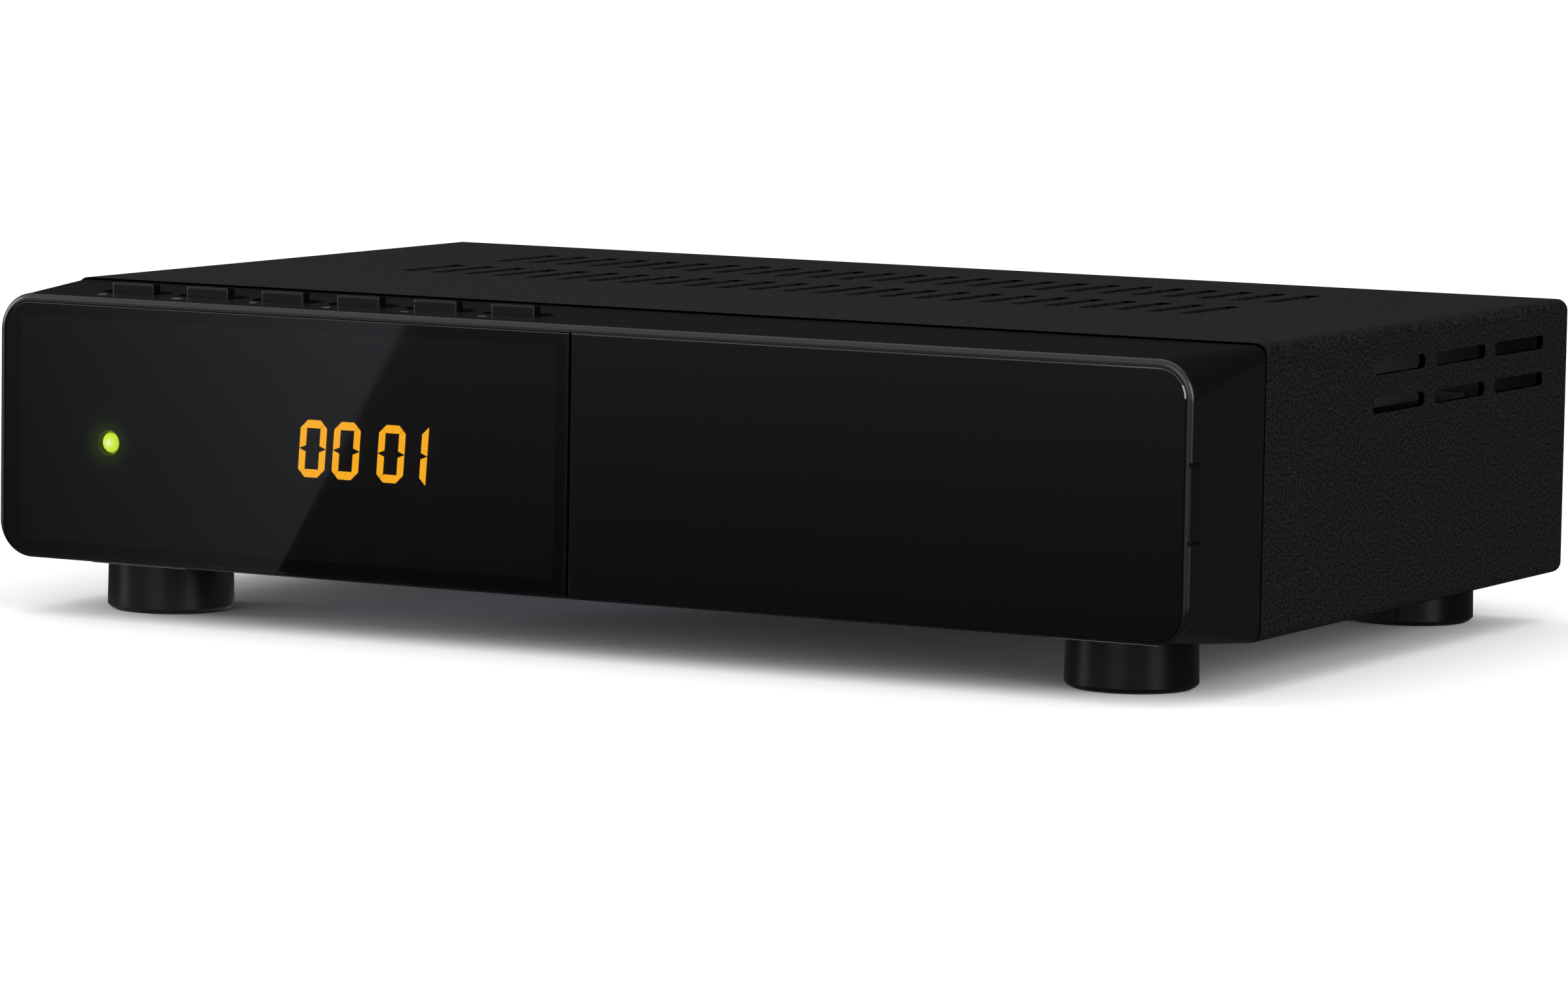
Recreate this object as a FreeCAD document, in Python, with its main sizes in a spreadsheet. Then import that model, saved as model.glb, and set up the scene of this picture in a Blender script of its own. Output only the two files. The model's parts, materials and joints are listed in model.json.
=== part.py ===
"""A satellite television receiver: steel case, plastic front bezel with a fixed window and a side-hinged
flap, six keys on the bezel's top, four feet, a main board with its rear sockets and a front board with
the display.

Everything is drawn in the case's own frame: x = 0 on the middle, y = 0 where the bezel meets the case,
z = 0 on the case's underside, the front towards -Y. Each sub-part is then carried to the part's frame,
whose origin is on the floor below the middle of the whole depth.
"""

import FreeCAD, Part
import os
import re
import Sketcher
from FreeCAD import Placement, Rotation, Vector

SIZES = {
    # case
    "case_width": 168.0,
    "case_height": 35.6,
    "case_depth": 94.5,
    "bend_radius": 1.5,
    "steel": 0.8,
    "cover_gap": 0.35,
    "flange_width": 6.2,
    "slide_gap": 0.2,
    "lip_height": 8.0,
    "lip_inset": 14.0,
    "tray_wall_height": 9.0,
    # case vents
    "vent_width": 2.0,
    "vent_length": 15.0,
    "vent_pitch": 4.73,
    "vent_count": 25,
    "vent_row_count": 2,
    "vent_row_pitch": 24.9,
    "vent_back": 16.4,
    "vent_shift": 1.2,
    "side_vent_width": 1.75,
    "side_vent_length": 16.0,
    "side_vent_pitch": 19.2,
    "side_vent_count": 3,
    "side_vent_back": 8.1,
    "side_vent_drop": 9.7,
    "side_vent_row_pitch": 4.7,
    # front bezel
    "bezel_depth": 18.4,
    "bezel_step": 0.25,
    "plate_top": 34.75,
    "plate_bottom": 1.21,
    "plate_corner": 4.7,
    "plate_inset": 0.7,
    "rim_round": 0.7,
    "rim_band": 1.2,
    "bezel_wall": 2.0,
    "front_wall": 1.8,
    "spigot_length": 3.0,
    "bay_depth": 9.0,
    "bay_ledge": 2.4,
    "bay_side_ledge": 3.0,
    "fascia": 1.6,
    "finger_radius": 4.6,
    "finger_reach": 5.4,
    "finger_depth": 0.25,
    "finger_notch": 0.5,
    "finger_notch_depth": 0.45,
    "finger_notch_length": 2.6,
    # window and flap
    "rim_side": 0.9,
    "rim_top": 1.05,
    "rim_bottom": 0.49,
    "panel_thickness": 2.0,
    "panel_corner": 3.5,
    "panel_bevel": 0.15,
    "panel_gap": 0.07,
    "panel_proud": 0.1,
    "flap_proud": 0.1,
    "tape": 0.2,
    "tape_width": 1.6,
    "split_x": 0.1,
    "split_gap": 0.25,
    "window_lip": 0.5,
    "window_relief": 0.6,
    "flap_edge_round": 0.3,
    # flap hinge and catch
    "hinge_inset": 2.5,
    "hinge_drop": 1.9,
    "hinge_pin_radius": 0.5,
    "hinge_pin_length": 7.0,
    "hinge_play": 0.04,
    "swing_clearance": 0.35,
    "lug_radius": 1.1,
    "lug_web": 1.4,
    "lug_height": 3.0,
    "lug_clearance": 0.3,
    "flap_skin": 0.6,
    "knuckle_radius": 1.3,
    "knuckle_length": 5.0,
    "catch_width": 6.0,
    "catch_thickness": 1.0,
    "catch_reach": 2.6,
    "catch_gap": 0.2,
    # keys
    "key_pitch": 11.12,
    "first_key": 67.48,
    "key_width": 6.24,
    "key_depth": 1.9,
    "key_front": 12.2,
    "key_proud": 1.28,
    "key_round": 0.35,
    "key_slot_width": 10.0,
    "key_slot_depth": 4.6,
    "key_slot_back": 0.9,
    "key_flange_margin": 2.2,
    "key_flange_overlap": 0.5,
    "key_flange_thickness": 0.8,
    "key_rest_gap": 0.05,
    "key_stem": 1.8,
    "key_travel": 0.4,
    "plunger_radius": 1.0,
    "plunger_gap": 0.1,
    "plunger_proud": 1.2,
    "plunger_above_board": 0.6,
    "switch_width": 6.0,
    "switch_height": 4.2,
    # front board and what it carries
    "board": 1.6,
    "front_board_gap": 5.6,
    "front_board_inset": 4.0,
    "board_wall_gap": 1.2,
    "front_board_bottom": 4.2,
    "front_board_top": 29.4,
    "front_screw_radius": 1.1,
    "front_screw_head": 1.5,
    "front_boss_radius": 2.6,
    "front_boss_floor": 0.6,
    "display_middle": 30.2,
    "display_height": 17.25,
    "display_width": 24.0,
    "display_tall": 10.6,
    "display_gap": 0.15,
    "led_x": 16.4,
    "led_z": 16.3,
    "led_radius": 1.5,
    "led_flange": 1.9,
    "led_wire": 0.5,
    "sensor_x": 28.0,
    "sensor_z": 10.2,
    "sensor_radius": 2.4,
    "sensor_body": 6.0,
    # feet
    "foot_radius": 8.1,
    "foot_top_radius": 8.0,
    "foot_edge": 0.4,
    "foot_height": 6.1,
    "pad_thickness": 0.9,
    "pad_proud": 0.25,
    "pad_radius": 7.2,
    "pad_gap": 0.1,
    "foot_inset": 15.85,
    "front_foot_y": 1.5,
    "rear_foot_inset": 12.0,
    "foot_screw_radius": 1.5,
    "foot_head_radius": 3.0,
    "foot_head_height": 2.0,
    "foot_screw_length": 8.0,
    "foot_boss_wall": 2.0,
    "ear_width": 14.0,
    "ear_reach": 9.2,
    "ear_gap": 0.2,
    # main board
    "standoff_height": 5.2,
    "standoff_radius": 2.5,
    "screw_radius": 1.45,
    "screw_head_height": 1.8,
    "cover_screw_grip": 4.0,
    "hole_clearance": 0.2,
    "board_side_inset": 12.0,
    "board_front": 4.6,
    "board_tongue_front": 5.0,
    "board_tongue_width": 24.0,
    "board_rear_gap": 1.2,
    "board_screw_inset": 5.0,
    # rear sockets
    "cutout_gap": 0.3,
    "tuner_inset": 39.0,
    "tuner_width": 26.0,
    "tuner_depth": 42.0,
    "tuner_height": 15.0,
    "tuner_lid": 0.4,
    "lnb_x": 22.0,
    "lnb_height": 8.4,
    "lnb_radius": 4.76,
    "lnb_neck_radius": 5.0,
    "lnb_shoulder": 1.5,
    "lnb_reach": 10.5,
    "lnb_bore": 3.6,
    "lnb_insulator_drop": 0.6,
    "lnb_contact_drop": 1.6,
    "lnb_contact_radius": 0.9,
    "lnb_contact_bore": 0.55,
    "nut_across": 12.7,
    "nut_thickness": 2.4,
    "audio_gap": 11.0,
    "audio_height": 7.6,
    "audio_radius": 4.15,
    "audio_collar_radius": 4.4,
    "audio_reach": 9.0,
    "audio_insert_drop": 0.5,
    "audio_insert_radius": 3.3,
    "audio_roof": 2.0,
    "audio_contact_radius": 1.65,
    "audio_body": 12.0,
    "hdmi_gap": 18.0,
    "hdmi_width": 15.0,
    "hdmi_height": 5.6,
    "hdmi_depth": 12.0,
    "hdmi_shell": 0.4,
    "hdmi_reach": 0.6,
    "hdmi_bevel": 1.9,
    "hdmi_tongue": 1.4,
    "hdmi_tongue_drop": 1.0,
    "scart_gap": 5.5,
    "scart_width": 46.0,
    "scart_height": 14.0,
    "scart_depth": 17.0,
    "scart_reach": 6.0,
    "scart_wall": 1.4,
    "scart_groove": 1.3,
    "scart_hollow": 9.0,
    "scart_slot": 1.3,
    "scart_pitch": 3.81,
    "scart_slot_count": 10,
    "scart_row_gap": 3.4,
    "scart_core_drop": 0.5,
    "scart_slant": 4.6,
    "dc_inset": 18.0,
    "dc_width": 9.2,
    "dc_height": 11.0,
    "dc_depth": 14.0,
    "dc_bore": 3.15,
    "dc_bore_depth": 9.5,
    "dc_pin_radius": 1.02,
    "dc_pin_drop": 1.0,
    # front usb socket
    "usb_x": 36.0,
    "usb_width": 13.2,
    "usb_height": 5.8,
    "usb_depth": 14.0,
    "usb_shell": 0.3,
    "usb_tongue": 1.6,
    "usb_tongue_drop": 1.0,
    # parts on the main board
    "chip_size": 21.0,
    "chip_thickness": 2.0,
    "chip_gap": 23.0,
    "chip_y": 46.0,
    "pad_film": 0.5,
    "sink_size": 26.0,
    "sink_height": 9.0,
    "sink_base": 2.0,
    "fin": 1.2,
    "fin_count": 6,
    "memory_gap": 4.0,
    "memory_width": 9.0,
    "memory_length": 13.0,
    "memory_thickness": 1.2,
    "capacitor_radius": 3.2,
    "capacitor_height": 11.0,
    "capacitor_pitch": 9.5,
    "capacitor_count": 5,
    "capacitor_gap": 15.2,
    "inductor_gap": 24.0,
    "inductor_pitch": 16.0,
    "inductor_size": 10.0,
    "inductor_height": 5.0,
    "cable_width": 16.0,
    "cable_thickness": 0.3,
    "cable_socket_height": 4.0,
    "cable_socket_depth": 5.0,
    "cable_x": 34.0,
    "cable_rise": 8.0,
    "cable_socket_margin": 1.0,
    # how far a rib or boss runs into its wall, and how far a cutting tool runs past the solid
    "root": 0.5,
    "spare": 1.0,
}

PLACES = {
    # outline of the case
    "side": "case_width / 2",
    "cover_inner_side": "side - steel",
    "cover_inner_top": "case_height - steel",
    "flange_edge": "side - flange_width",
    "floor_edge": "flange_edge - slide_gap",
    "wall_out": "case_depth - steel",
    "wall_in": "wall_out - steel",
    "vent_front": "case_depth - vent_back - vent_length - (vent_row_count - 1) * vent_row_pitch",
    "side_vent_rest": "side_vent_length + (side_vent_count - 1) * side_vent_pitch",
    "side_vent_front": "case_depth - side_vent_back - side_vent_rest",
    "cover_screw_z": "case_height - lip_height / 2 - steel / 2",
    "rear_foot_y": "case_depth - rear_foot_inset",
    "foot_x": "side - foot_inset",
    "foot_bottom": "pad_proud - foot_height",
    "pad_top": "pad_thickness - foot_height",
    "foot_seat": "pad_top + foot_head_height + hole_clearance",
    "foot_screw_top": "foot_seat + foot_screw_length",
    "foot_boss_top": "foot_screw_top + spare",
    # whole depth, for the origin
    "rear_reach": "wall_out + lnb_reach",
    "middle_y": "(rear_reach + flap_front) / 2",
    # bezel and panels, from the front to the back
    "panel_front": "0 - bezel_depth - panel_proud",
    "flap_front": "panel_front - flap_proud",
    "panel_back": "panel_front + panel_thickness",
    "seat_y": "panel_back + tape",
    "wall_back": "seat_y + front_wall",
    "fascia_front": "seat_y + bay_depth",
    "fascia_back": "fascia_front + fascia",
    "plate_side": "side - plate_inset",
    "panel_side": "plate_side - rim_side",
    "panel_top": "plate_top - rim_top",
    "panel_bottom": "plate_bottom + rim_bottom",
    "window_edge": "split_x - split_gap / 2",
    "flap_edge": "split_x + split_gap / 2",
    "cavity_side": "side - bezel_wall",
    "cavity_top": "plate_top - bezel_wall",
    "cavity_bottom": "plate_bottom + bezel_wall",
    # hinge and bay
    "hinge_x": "flap_edge + hinge_inset",
    "hinge_y": "panel_front + hinge_drop",
    "swing_reach": "sqrt(hinge_inset * hinge_inset + hinge_drop * hinge_drop) + swing_clearance",
    "bay_left": "hinge_x - swing_reach",
    "bay_right": "panel_side - bay_side_ledge",
    "bay_bottom": "panel_bottom + bay_ledge",
    "bay_top": "panel_top - bay_ledge",
    "bay_wall_left": "bay_left - front_wall",
    "lug_low": "bay_bottom + lug_height",
    "lug_high": "bay_top - lug_height",
    "knuckle_low": "lug_low + lug_clearance",
    "knuckle_high": "lug_high - lug_clearance",
    "plate_middle": "(plate_top + plate_bottom) / 2",
    # keys
    "first_key_x": "split_x - first_key",
    "key_y": "key_depth / 2 - key_front",
    "key_slot_y": "key_y + key_slot_back",
    "taper_depth": "bezel_depth - rim_band",
    "strip_top": "case_height - bezel_step",
    "key_top": "plate_top + (strip_top - plate_top) * (taper_depth + key_y) / taper_depth + key_proud",
    "key_flange_top": "cavity_top - key_rest_gap",
    "key_flange_bottom": "key_flange_top - key_flange_thickness",
    "switch_top": "plunger_top - plunger_proud",
    "plunger_top": "front_board_top + plunger_above_board",
    # front board
    "front_board_y": "wall_back + front_board_gap",
    "front_board_back": "front_board_y + board",
    "front_board_left": "front_board_inset - side",
    "front_board_right": "bay_wall_left - board_wall_gap",
    "display_x": "split_x - display_middle",
    "led_place_x": "led_x - side",
    "sensor_place_x": "sensor_x - side",
    # main board
    "board_z": "steel + standoff_height",
    "board_top": "board_z + board",
    "board_edge": "side - board_side_inset",
    "board_back": "wall_in - board_rear_gap",
    "board_screw_x": "board_edge - board_screw_inset",
    "board_screw_front": "board_front + 1.5 * board_screw_inset",
    "tuner_front": "board_back - tuner_depth",
    "dc_front": "wall_in - dc_depth",
    # rear sockets
    "tuner_left": "side - tuner_inset",
    "lnb_place_x": "side - lnb_x",
    "lnb_z": "board_top + lnb_height",
    "audio_x": "tuner_left - audio_gap",
    "audio_z": "board_top + audio_height",
    "hdmi_x": "audio_x - hdmi_gap",
    "scart_right": "hdmi_x - hdmi_width / 2 - scart_gap",
    "scart_left": "scart_right - scart_width",
    "scart_top": "board_top + scart_height",
    "scart_back": "wall_out + scart_reach",
    "dc_x": "dc_inset - side",
    "dc_z": "board_top + dc_height - dc_width / 2",
    "hdmi_back": "wall_out + hdmi_reach",
    "usb_place_x": "side - usb_x",
    "usb_back": "fascia_front + usb_depth",
    "chip_x": "tuner_left - chip_gap",
    "chip_top": "board_top + chip_thickness",
    "capacitor_y": "dc_front - capacitor_gap",
    "inductor_back": "capacitor_y - inductor_gap",
    "sink_bottom": "chip_top + pad_film",
    "cable_place_x": "cable_x - side",
}

KEY_NAMES = ["power", "menu", "channel_down", "channel_up", "volume_down", "volume_up"]
SIDES = {"left": "0 -", "right": "0 +"}
COVER_SCREWS = {
    "left": "lip_inset + lip_height - side",
    "middle": "0",
    "right": "side - lip_inset - lip_height",
}
FRONT_SCREWS = [
    ("front_board_left + 2 * front_boss_radius", "front_board_bottom + 2 * front_boss_radius"),
    ("front_board_right - 2 * front_boss_radius", "front_board_bottom + 2 * front_boss_radius"),
    ("front_board_right - 2 * front_boss_radius", "switch_top - switch_height - 1.2 * front_boss_radius"),
]
BOARD_SCREWS = [
    ("0 - board_screw_x", "board_screw_front"),
    ("board_screw_x", "board_screw_front"),
    ("0 - board_screw_x", "dc_front - board_screw_inset"),
    ("board_screw_x", "tuner_front - board_screw_inset"),
]
FEET = {
    "front_left": ("0 - foot_x", "0 - front_foot_y"),
    "front_right": ("foot_x", "0 - front_foot_y"),
    "rear_left": ("0 - foot_x", "rear_foot_y"),
    "rear_right": ("foot_x", "rear_foot_y"),
}

doc = FreeCAD.newDocument("satellite_receiver")
sizes = doc.addObject("Spreadsheet::Sheet", "sizes")
places = doc.addObject("Spreadsheet::Sheet", "places")
pieces = []


def bound(text, inside=""):
    """The formula with each size and place named by its sheet; inside is the sheet that holds the formula."""

    def named(match):
        word = match.group(0)
        sheet = "sizes" if word in SIZES else "places" if word in PLACES else inside
        return word if sheet == inside else f"{sheet}.{word}"

    return re.sub(r"[a-z][a-z_0-9]*", named, str(text))


def fill_sheets():
    """The driving dimensions as plain numbers, and the places that follow from them."""
    for row, (name, size) in enumerate(SIZES.items(), start=1):
        sizes.set(f"A{row}", name)
        sizes.set(f"B{row}", str(size))
        sizes.setAlias(f"B{row}", name)
    for row, (name, formula) in enumerate(PLACES.items(), start=1):
        places.set(f"A{row}", name)
        places.setAlias(f"B{row}", name)
    for row, (name, formula) in enumerate(PLACES.items(), start=1):
        places.set(f"B{row}", "=" + bound(formula, "places"))
    doc.recompute()


def number(text):
    """What a formula comes to."""
    return float(sizes.evalExpression(bound(text)))


def set_place(shape, **at):
    """Binds the given coordinates of an object's placement."""
    for axis, formula in at.items():
        shape.setExpression(f"Placement.Base.{axis}", bound(formula))


def block(name, x, y, z):
    """A box between two limits along each axis."""
    shape = doc.addObject("Part::Box", name)
    for side, (low, high) in {"Length": x, "Width": y, "Height": z}.items():
        shape.setExpression(side, bound(f"({high}) - ({low})"))
    set_place(shape, x=x[0], y=y[0], z=z[0])
    return shape


AXES = {"x": Rotation(Vector(0, 1, 0), 90), "y": Rotation(Vector(1, 0, 0), -90), "z": Rotation()}


def rod(name, radius, along, start, end, **at):
    """A cylinder along one axis, from start to end."""
    shape = doc.addObject("Part::Cylinder", name)
    shape.Placement = Placement(Vector(), AXES[along])
    shape.setExpression("Radius", bound(radius))
    shape.setExpression("Height", bound(f"({end}) - ({start})"))
    set_place(shape, **{along: start}, **at)
    return shape


def cone(name, low_radius, high_radius, start, end, x, y):
    """An upright cone."""
    shape = doc.addObject("Part::Cone", name)
    shape.setExpression("Radius1", bound(low_radius))
    shape.setExpression("Radius2", bound(high_radius))
    shape.setExpression("Height", bound(f"({end}) - ({start})"))
    set_place(shape, x=x, y=y, z=start)
    return shape


def join(name, *shapes):
    """Several shapes made one solid."""
    shape = doc.addObject("Part::MultiFuse", name)
    shape.Shapes = shapes
    shape.Refine = True
    return shape


def cut(name, base, *tools):
    """The base without the tools."""
    shape = doc.addObject("Part::Cut", name)
    shape.Base = base
    shape.Tool = tools[0] if len(tools) == 1 else join(f"{name}_tools", *tools)
    return shape


def piece(name, *solids):
    """A sub-part: its solids, carried from the case's frame to the part's."""
    whole = doc.addObject("Part::Compound", name)
    whole.Links = solids
    whole.Label = name
    set_place(whole, y="0 - middle_y", z="foot_height")
    pieces.append(whole)
    return whole


# Sketches and bodies


def new_body(name):
    return doc.addObject("PartDesign::Body", name)


def sketch_on(body, plane, offset):
    """A sketch on one of the body's own planes, moved along the plane's normal."""
    sketch = body.newObject("Sketcher::SketchObject", f"{body.Name}_sketch")
    origin = {feature.Role: feature for feature in body.Origin.OriginFeatures}
    sketch.AttachmentSupport = [(origin[plane], "")]
    sketch.MapMode = "FlatFace"
    sketch.setExpression("AttachmentOffset.Base.z", bound(offset))
    return sketch


def pin_point(sketch, geometry, end, x, y):
    """Holds one point of the sketch at two formulas."""
    for kind, formula in (("DistanceX", x), ("DistanceY", y)):
        index = sketch.addConstraint(Sketcher.Constraint(kind, -1, 1, geometry, end, number(formula)))
        sketch.setExpression(f"Constraints[{index}]", bound(formula))


def draw_polygon(sketch, corners):
    """A closed outline through the corners, each a pair of formulas."""
    points = [Vector(number(x), number(y), 0) for x, y in corners]
    for start, end in zip(points, points[1:] + points[:1]):
        sketch.addGeometry(Part.LineSegment(start, end), False)
    for index, (x, y) in enumerate(corners):
        following = (index + 1) % len(corners)
        sketch.addConstraint(Sketcher.Constraint("Coincident", index, 2, following, 1))
        pin_point(sketch, index, 1, x, y)


def draw_rectangle(sketch, x, y):
    draw_polygon(sketch, [(x[0], y[0]), (x[1], y[0]), (x[1], y[1]), (x[0], y[1])])


def draw_slot(sketch, x, y, radius):
    """A slot with round ends: x and y hold the two end centres, which share one coordinate."""
    start = Vector(number(x[0]), number(y[0]), 0)
    end = Vector(number(x[1]), number(y[1]), 0)
    run = (end - start).normalize()
    across = Vector(-run.y, run.x, 0) * number(radius)
    out = run * number(radius)
    sketch.addGeometry(Part.LineSegment(start - across, end - across), False)
    sketch.addGeometry(Part.Arc(end - across, end + out, end + across), False)
    sketch.addGeometry(Part.LineSegment(end + across, start + across), False)
    sketch.addGeometry(Part.Arc(start + across, start - out, start - across), False)
    for index in range(4):
        sketch.addConstraint(Sketcher.Constraint("Tangent", index, 2, (index + 1) % 4, 1))
    index = sketch.addConstraint(Sketcher.Constraint("Radius", 1, number(radius)))
    sketch.setExpression(f"Constraints[{index}]", bound(radius))
    pin_point(sketch, 1, 3, x[1], y[1])
    pin_point(sketch, 3, 3, x[0], y[0])


def rounded_rectangle(sketch, x, z, radius):
    """A rectangle with four round corners, held by its sides and one radius."""
    low, high = number(x[0]), number(x[1])
    bottom, top = number(z[0]), number(z[1])
    r = number(radius)
    lines = [
        ((low + r, bottom), (high - r, bottom)),
        ((high, bottom + r), (high, top - r)),
        ((high - r, top), (low + r, top)),
        ((low, top - r), (low, bottom + r)),
    ]
    centres = [(high - r, bottom + r), (high - r, top - r), (low + r, top - r), (low + r, bottom + r)]
    outward = [(1, -1), (1, 1), (-1, 1), (-1, -1)]
    for index in range(4):
        start, end = (Vector(px, pz, 0) for px, pz in lines[index])
        following = Vector(*lines[(index + 1) % 4][0], 0)
        centre = Vector(*centres[index], 0)
        middle = centre + Vector(*outward[index], 0).normalize() * r
        sketch.addGeometry(Part.LineSegment(start, end), False)
        sketch.addGeometry(Part.Arc(end, middle, following), False)
    for index in range(8):
        sketch.addConstraint(Sketcher.Constraint("Tangent", index, 2, (index + 1) % 8, 1))
    for line, kind in ((0, "Horizontal"), (2, "Vertical"), (4, "Horizontal"), (6, "Vertical")):
        sketch.addConstraint(Sketcher.Constraint(kind, line))
    for arc in (3, 5, 7):
        sketch.addConstraint(Sketcher.Constraint("Equal", 1, arc))
    held = [("Radius", None, radius), ("DistanceY", (0, 1), z[0]), ("DistanceX", (2, 1), x[1]),
            ("DistanceY", (4, 1), z[1]), ("DistanceX", (6, 1), x[0])]
    for kind, point, formula in held:
        target = (1,) if point is None else (-1, 1, *point)
        index = sketch.addConstraint(Sketcher.Constraint(kind, *target, number(formula)))
        sketch.setExpression(f"Constraints[{index}]", bound(formula))


def pad(body, sketch, length, reverse=False):
    feature = body.newObject("PartDesign::Pad", f"{body.Name}_pad")
    feature.Profile = sketch
    feature.Reversed = reverse
    feature.setExpression("Length", bound(length))
    body.Tip = feature
    return feature


def pocket(body, sketch, length=None, reverse=False):
    """Cuts the sketch into the body, through all of it where no length is given."""
    feature = body.newObject("PartDesign::Pocket", f"{body.Name}_pocket")
    feature.Profile = sketch
    feature.Reversed = reverse
    if length is None:
        feature.Type = "ThroughAll"
    else:
        feature.setExpression("Length", bound(length))
    body.Tip = feature
    return feature


def repeat(body, feature, sketch, axis, count, pitch, reverse=False):
    """Copies a feature along one axis of its sketch."""
    pattern = body.newObject("PartDesign::LinearPattern", f"{body.Name}_pattern")
    pattern.Originals = [feature]
    pattern.Direction = (sketch, [axis])
    pattern.Reversed = reverse
    pattern.setExpression("Occurrences", bound(count))
    pattern.setExpression("Length", bound(f"({count} - 1) * ({pitch})"))
    body.Tip = pattern
    return pattern


def edges_where(shape, wanted):
    """The names of the edges that a test picks."""
    return [f"Edge{index}" for index, edge in enumerate(shape.Edges, start=1) if wanted(edge)]


def level(edge, axis):
    """The edge's coordinate on an axis if it's the same all along the edge, else None."""
    box = edge.BoundBox
    low = getattr(box, f"{axis}Min")
    high = getattr(box, f"{axis}Max")
    return (low + high) / 2 if high - low < 1e-4 else None


def near(first, second):
    return first is not None and abs(first - second) < 1e-3


def dress(body, kind, size, wanted):
    """Rounds ("Fillet", Radius) or bevels ("Chamfer", Size) the picked edges of the body as it stands."""
    doc.recompute()
    base = body.Tip
    feature = body.newObject(f"PartDesign::{kind}", f"{body.Name}_{kind.lower()}")
    feature.Base = (base, edges_where(base.Shape, wanted))
    feature.setExpression("Radius" if kind == "Fillet" else "Size", bound(size))
    body.Tip = feature
    return feature


def slab(name, x, y, z, corner=None, corners_at=(0, 1)):
    """A plate across the Y axis. Its corners on the chosen sides (0 is low x, 1 is high x) are rounded."""
    body = new_body(name)
    sketch = sketch_on(body, "XZ_Plane", f"0 - ({y[0]})")
    draw_rectangle(sketch, x, z)
    pad(body, sketch, f"({y[1]}) - ({y[0]})", reverse=True)
    if corner is not None:
        chosen = [number(x[side]) for side in corners_at]
        dress(body, "Fillet", corner, lambda edge: level(edge, "Z") is not None
              and any(near(level(edge, "X"), side) for side in chosen))
    return body


def prism(name, corners, y):
    """A polygon in x and z, pushed along Y."""
    body = new_body(name)
    sketch = sketch_on(body, "XZ_Plane", f"0 - ({y[0]})")
    draw_polygon(sketch, corners)
    pad(body, sketch, f"({y[1]}) - ({y[0]})", reverse=True)
    return body


def slot_plug(name, x, y, radius, z):
    """A tool for an upright slot with round ends, along X."""
    half = f"({radius})"
    return join(
        name,
        block(f"{name}_middle", x, (f"({y}) - {half}", f"({y}) + {half}"), z),
        rod(f"{name}_left", radius, "z", z[0], z[1], x=x[0], y=y),
        rod(f"{name}_right", radius, "z", z[0], z[1], x=x[1], y=y),
    )


# Front bezel


def key_x(index):
    return f"first_key_x + {index} * key_pitch"


def bezel_skin():
    """The bezel's outside: a straight band with a rounded front rim, widening behind it to the case's
    outline, and a spigot that slides into the cover."""
    body = new_body("bezel_skin")
    plate = ("0 - plate_side", "plate_side"), ("plate_bottom", "plate_top"), "plate_corner"
    rim = sketch_on(body, "XZ_Plane", "bezel_depth")
    rounded_rectangle(rim, *plate)
    pad(body, rim, "rim_band", reverse=True)
    dress(body, "Fillet", "rim_round", lambda edge: near(level(edge, "Y"), -number("bezel_depth")))
    front = sketch_on(body, "XZ_Plane", "taper_depth")
    rounded_rectangle(front, *plate)
    rear = sketch_on(body, "XZ_Plane", "0")
    rounded_rectangle(rear, ("0 - side", "side"), ("0", "strip_top"), "bend_radius")
    loft = body.newObject("PartDesign::AdditiveLoft", "bezel_loft")
    loft.Profile = front
    loft.Sections = [rear]
    loft.Ruled = True
    body.Tip = loft
    spigot = sketch_on(body, "XZ_Plane", "0 - spigot_length")
    spigot_side = "(cover_inner_side - slide_gap)"
    rounded_rectangle(spigot, (f"0 - {spigot_side}", spigot_side),
                      ("steel + slide_gap", "cover_inner_top - slide_gap"), "bend_radius - steel")
    pad(body, spigot, "spigot_length + fascia")
    return body


def finger_scoop():
    """A shallow scoop in the bezel's side, deepest at the front, that bares the flap's free edge."""
    body = new_body("finger_wedge")
    sketch = sketch_on(body, "XY_Plane", "plate_middle - finger_radius - spare")
    draw_polygon(sketch, [
        ("plate_side - finger_depth", "0 - bezel_depth - spare"),
        ("side + spare", "0 - bezel_depth - spare"),
        ("side + spare", "finger_reach - bezel_depth"),
        ("side", "finger_reach - bezel_depth"),
        ("plate_side - finger_depth", "0 - bezel_depth"),
    ])
    pad(body, sketch, "2 * finger_radius + 2 * spare")
    scoop = doc.addObject("Part::MultiCommon", "finger_scoop")
    scoop.Shapes = [body, rod("finger_round", "finger_radius", "x", "plate_side - 2 * finger_depth",
                              "side + spare", y="0 - bezel_depth", z="plate_middle")]
    return scoop


def finger_notches():
    """The two short notches at the scoop's ends."""
    return [block(f"finger_notch_{name}", ("plate_side - finger_notch_depth", "side + spare"),
                  ("0 - bezel_depth - spare", "finger_notch_length - bezel_depth"),
                  (f"{middle} - finger_notch / 2", f"{middle} + finger_notch / 2"))
            for name, middle in (("low", "(plate_middle - finger_radius)"),
                                 ("high", "(plate_middle + finger_radius)"))]


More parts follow.
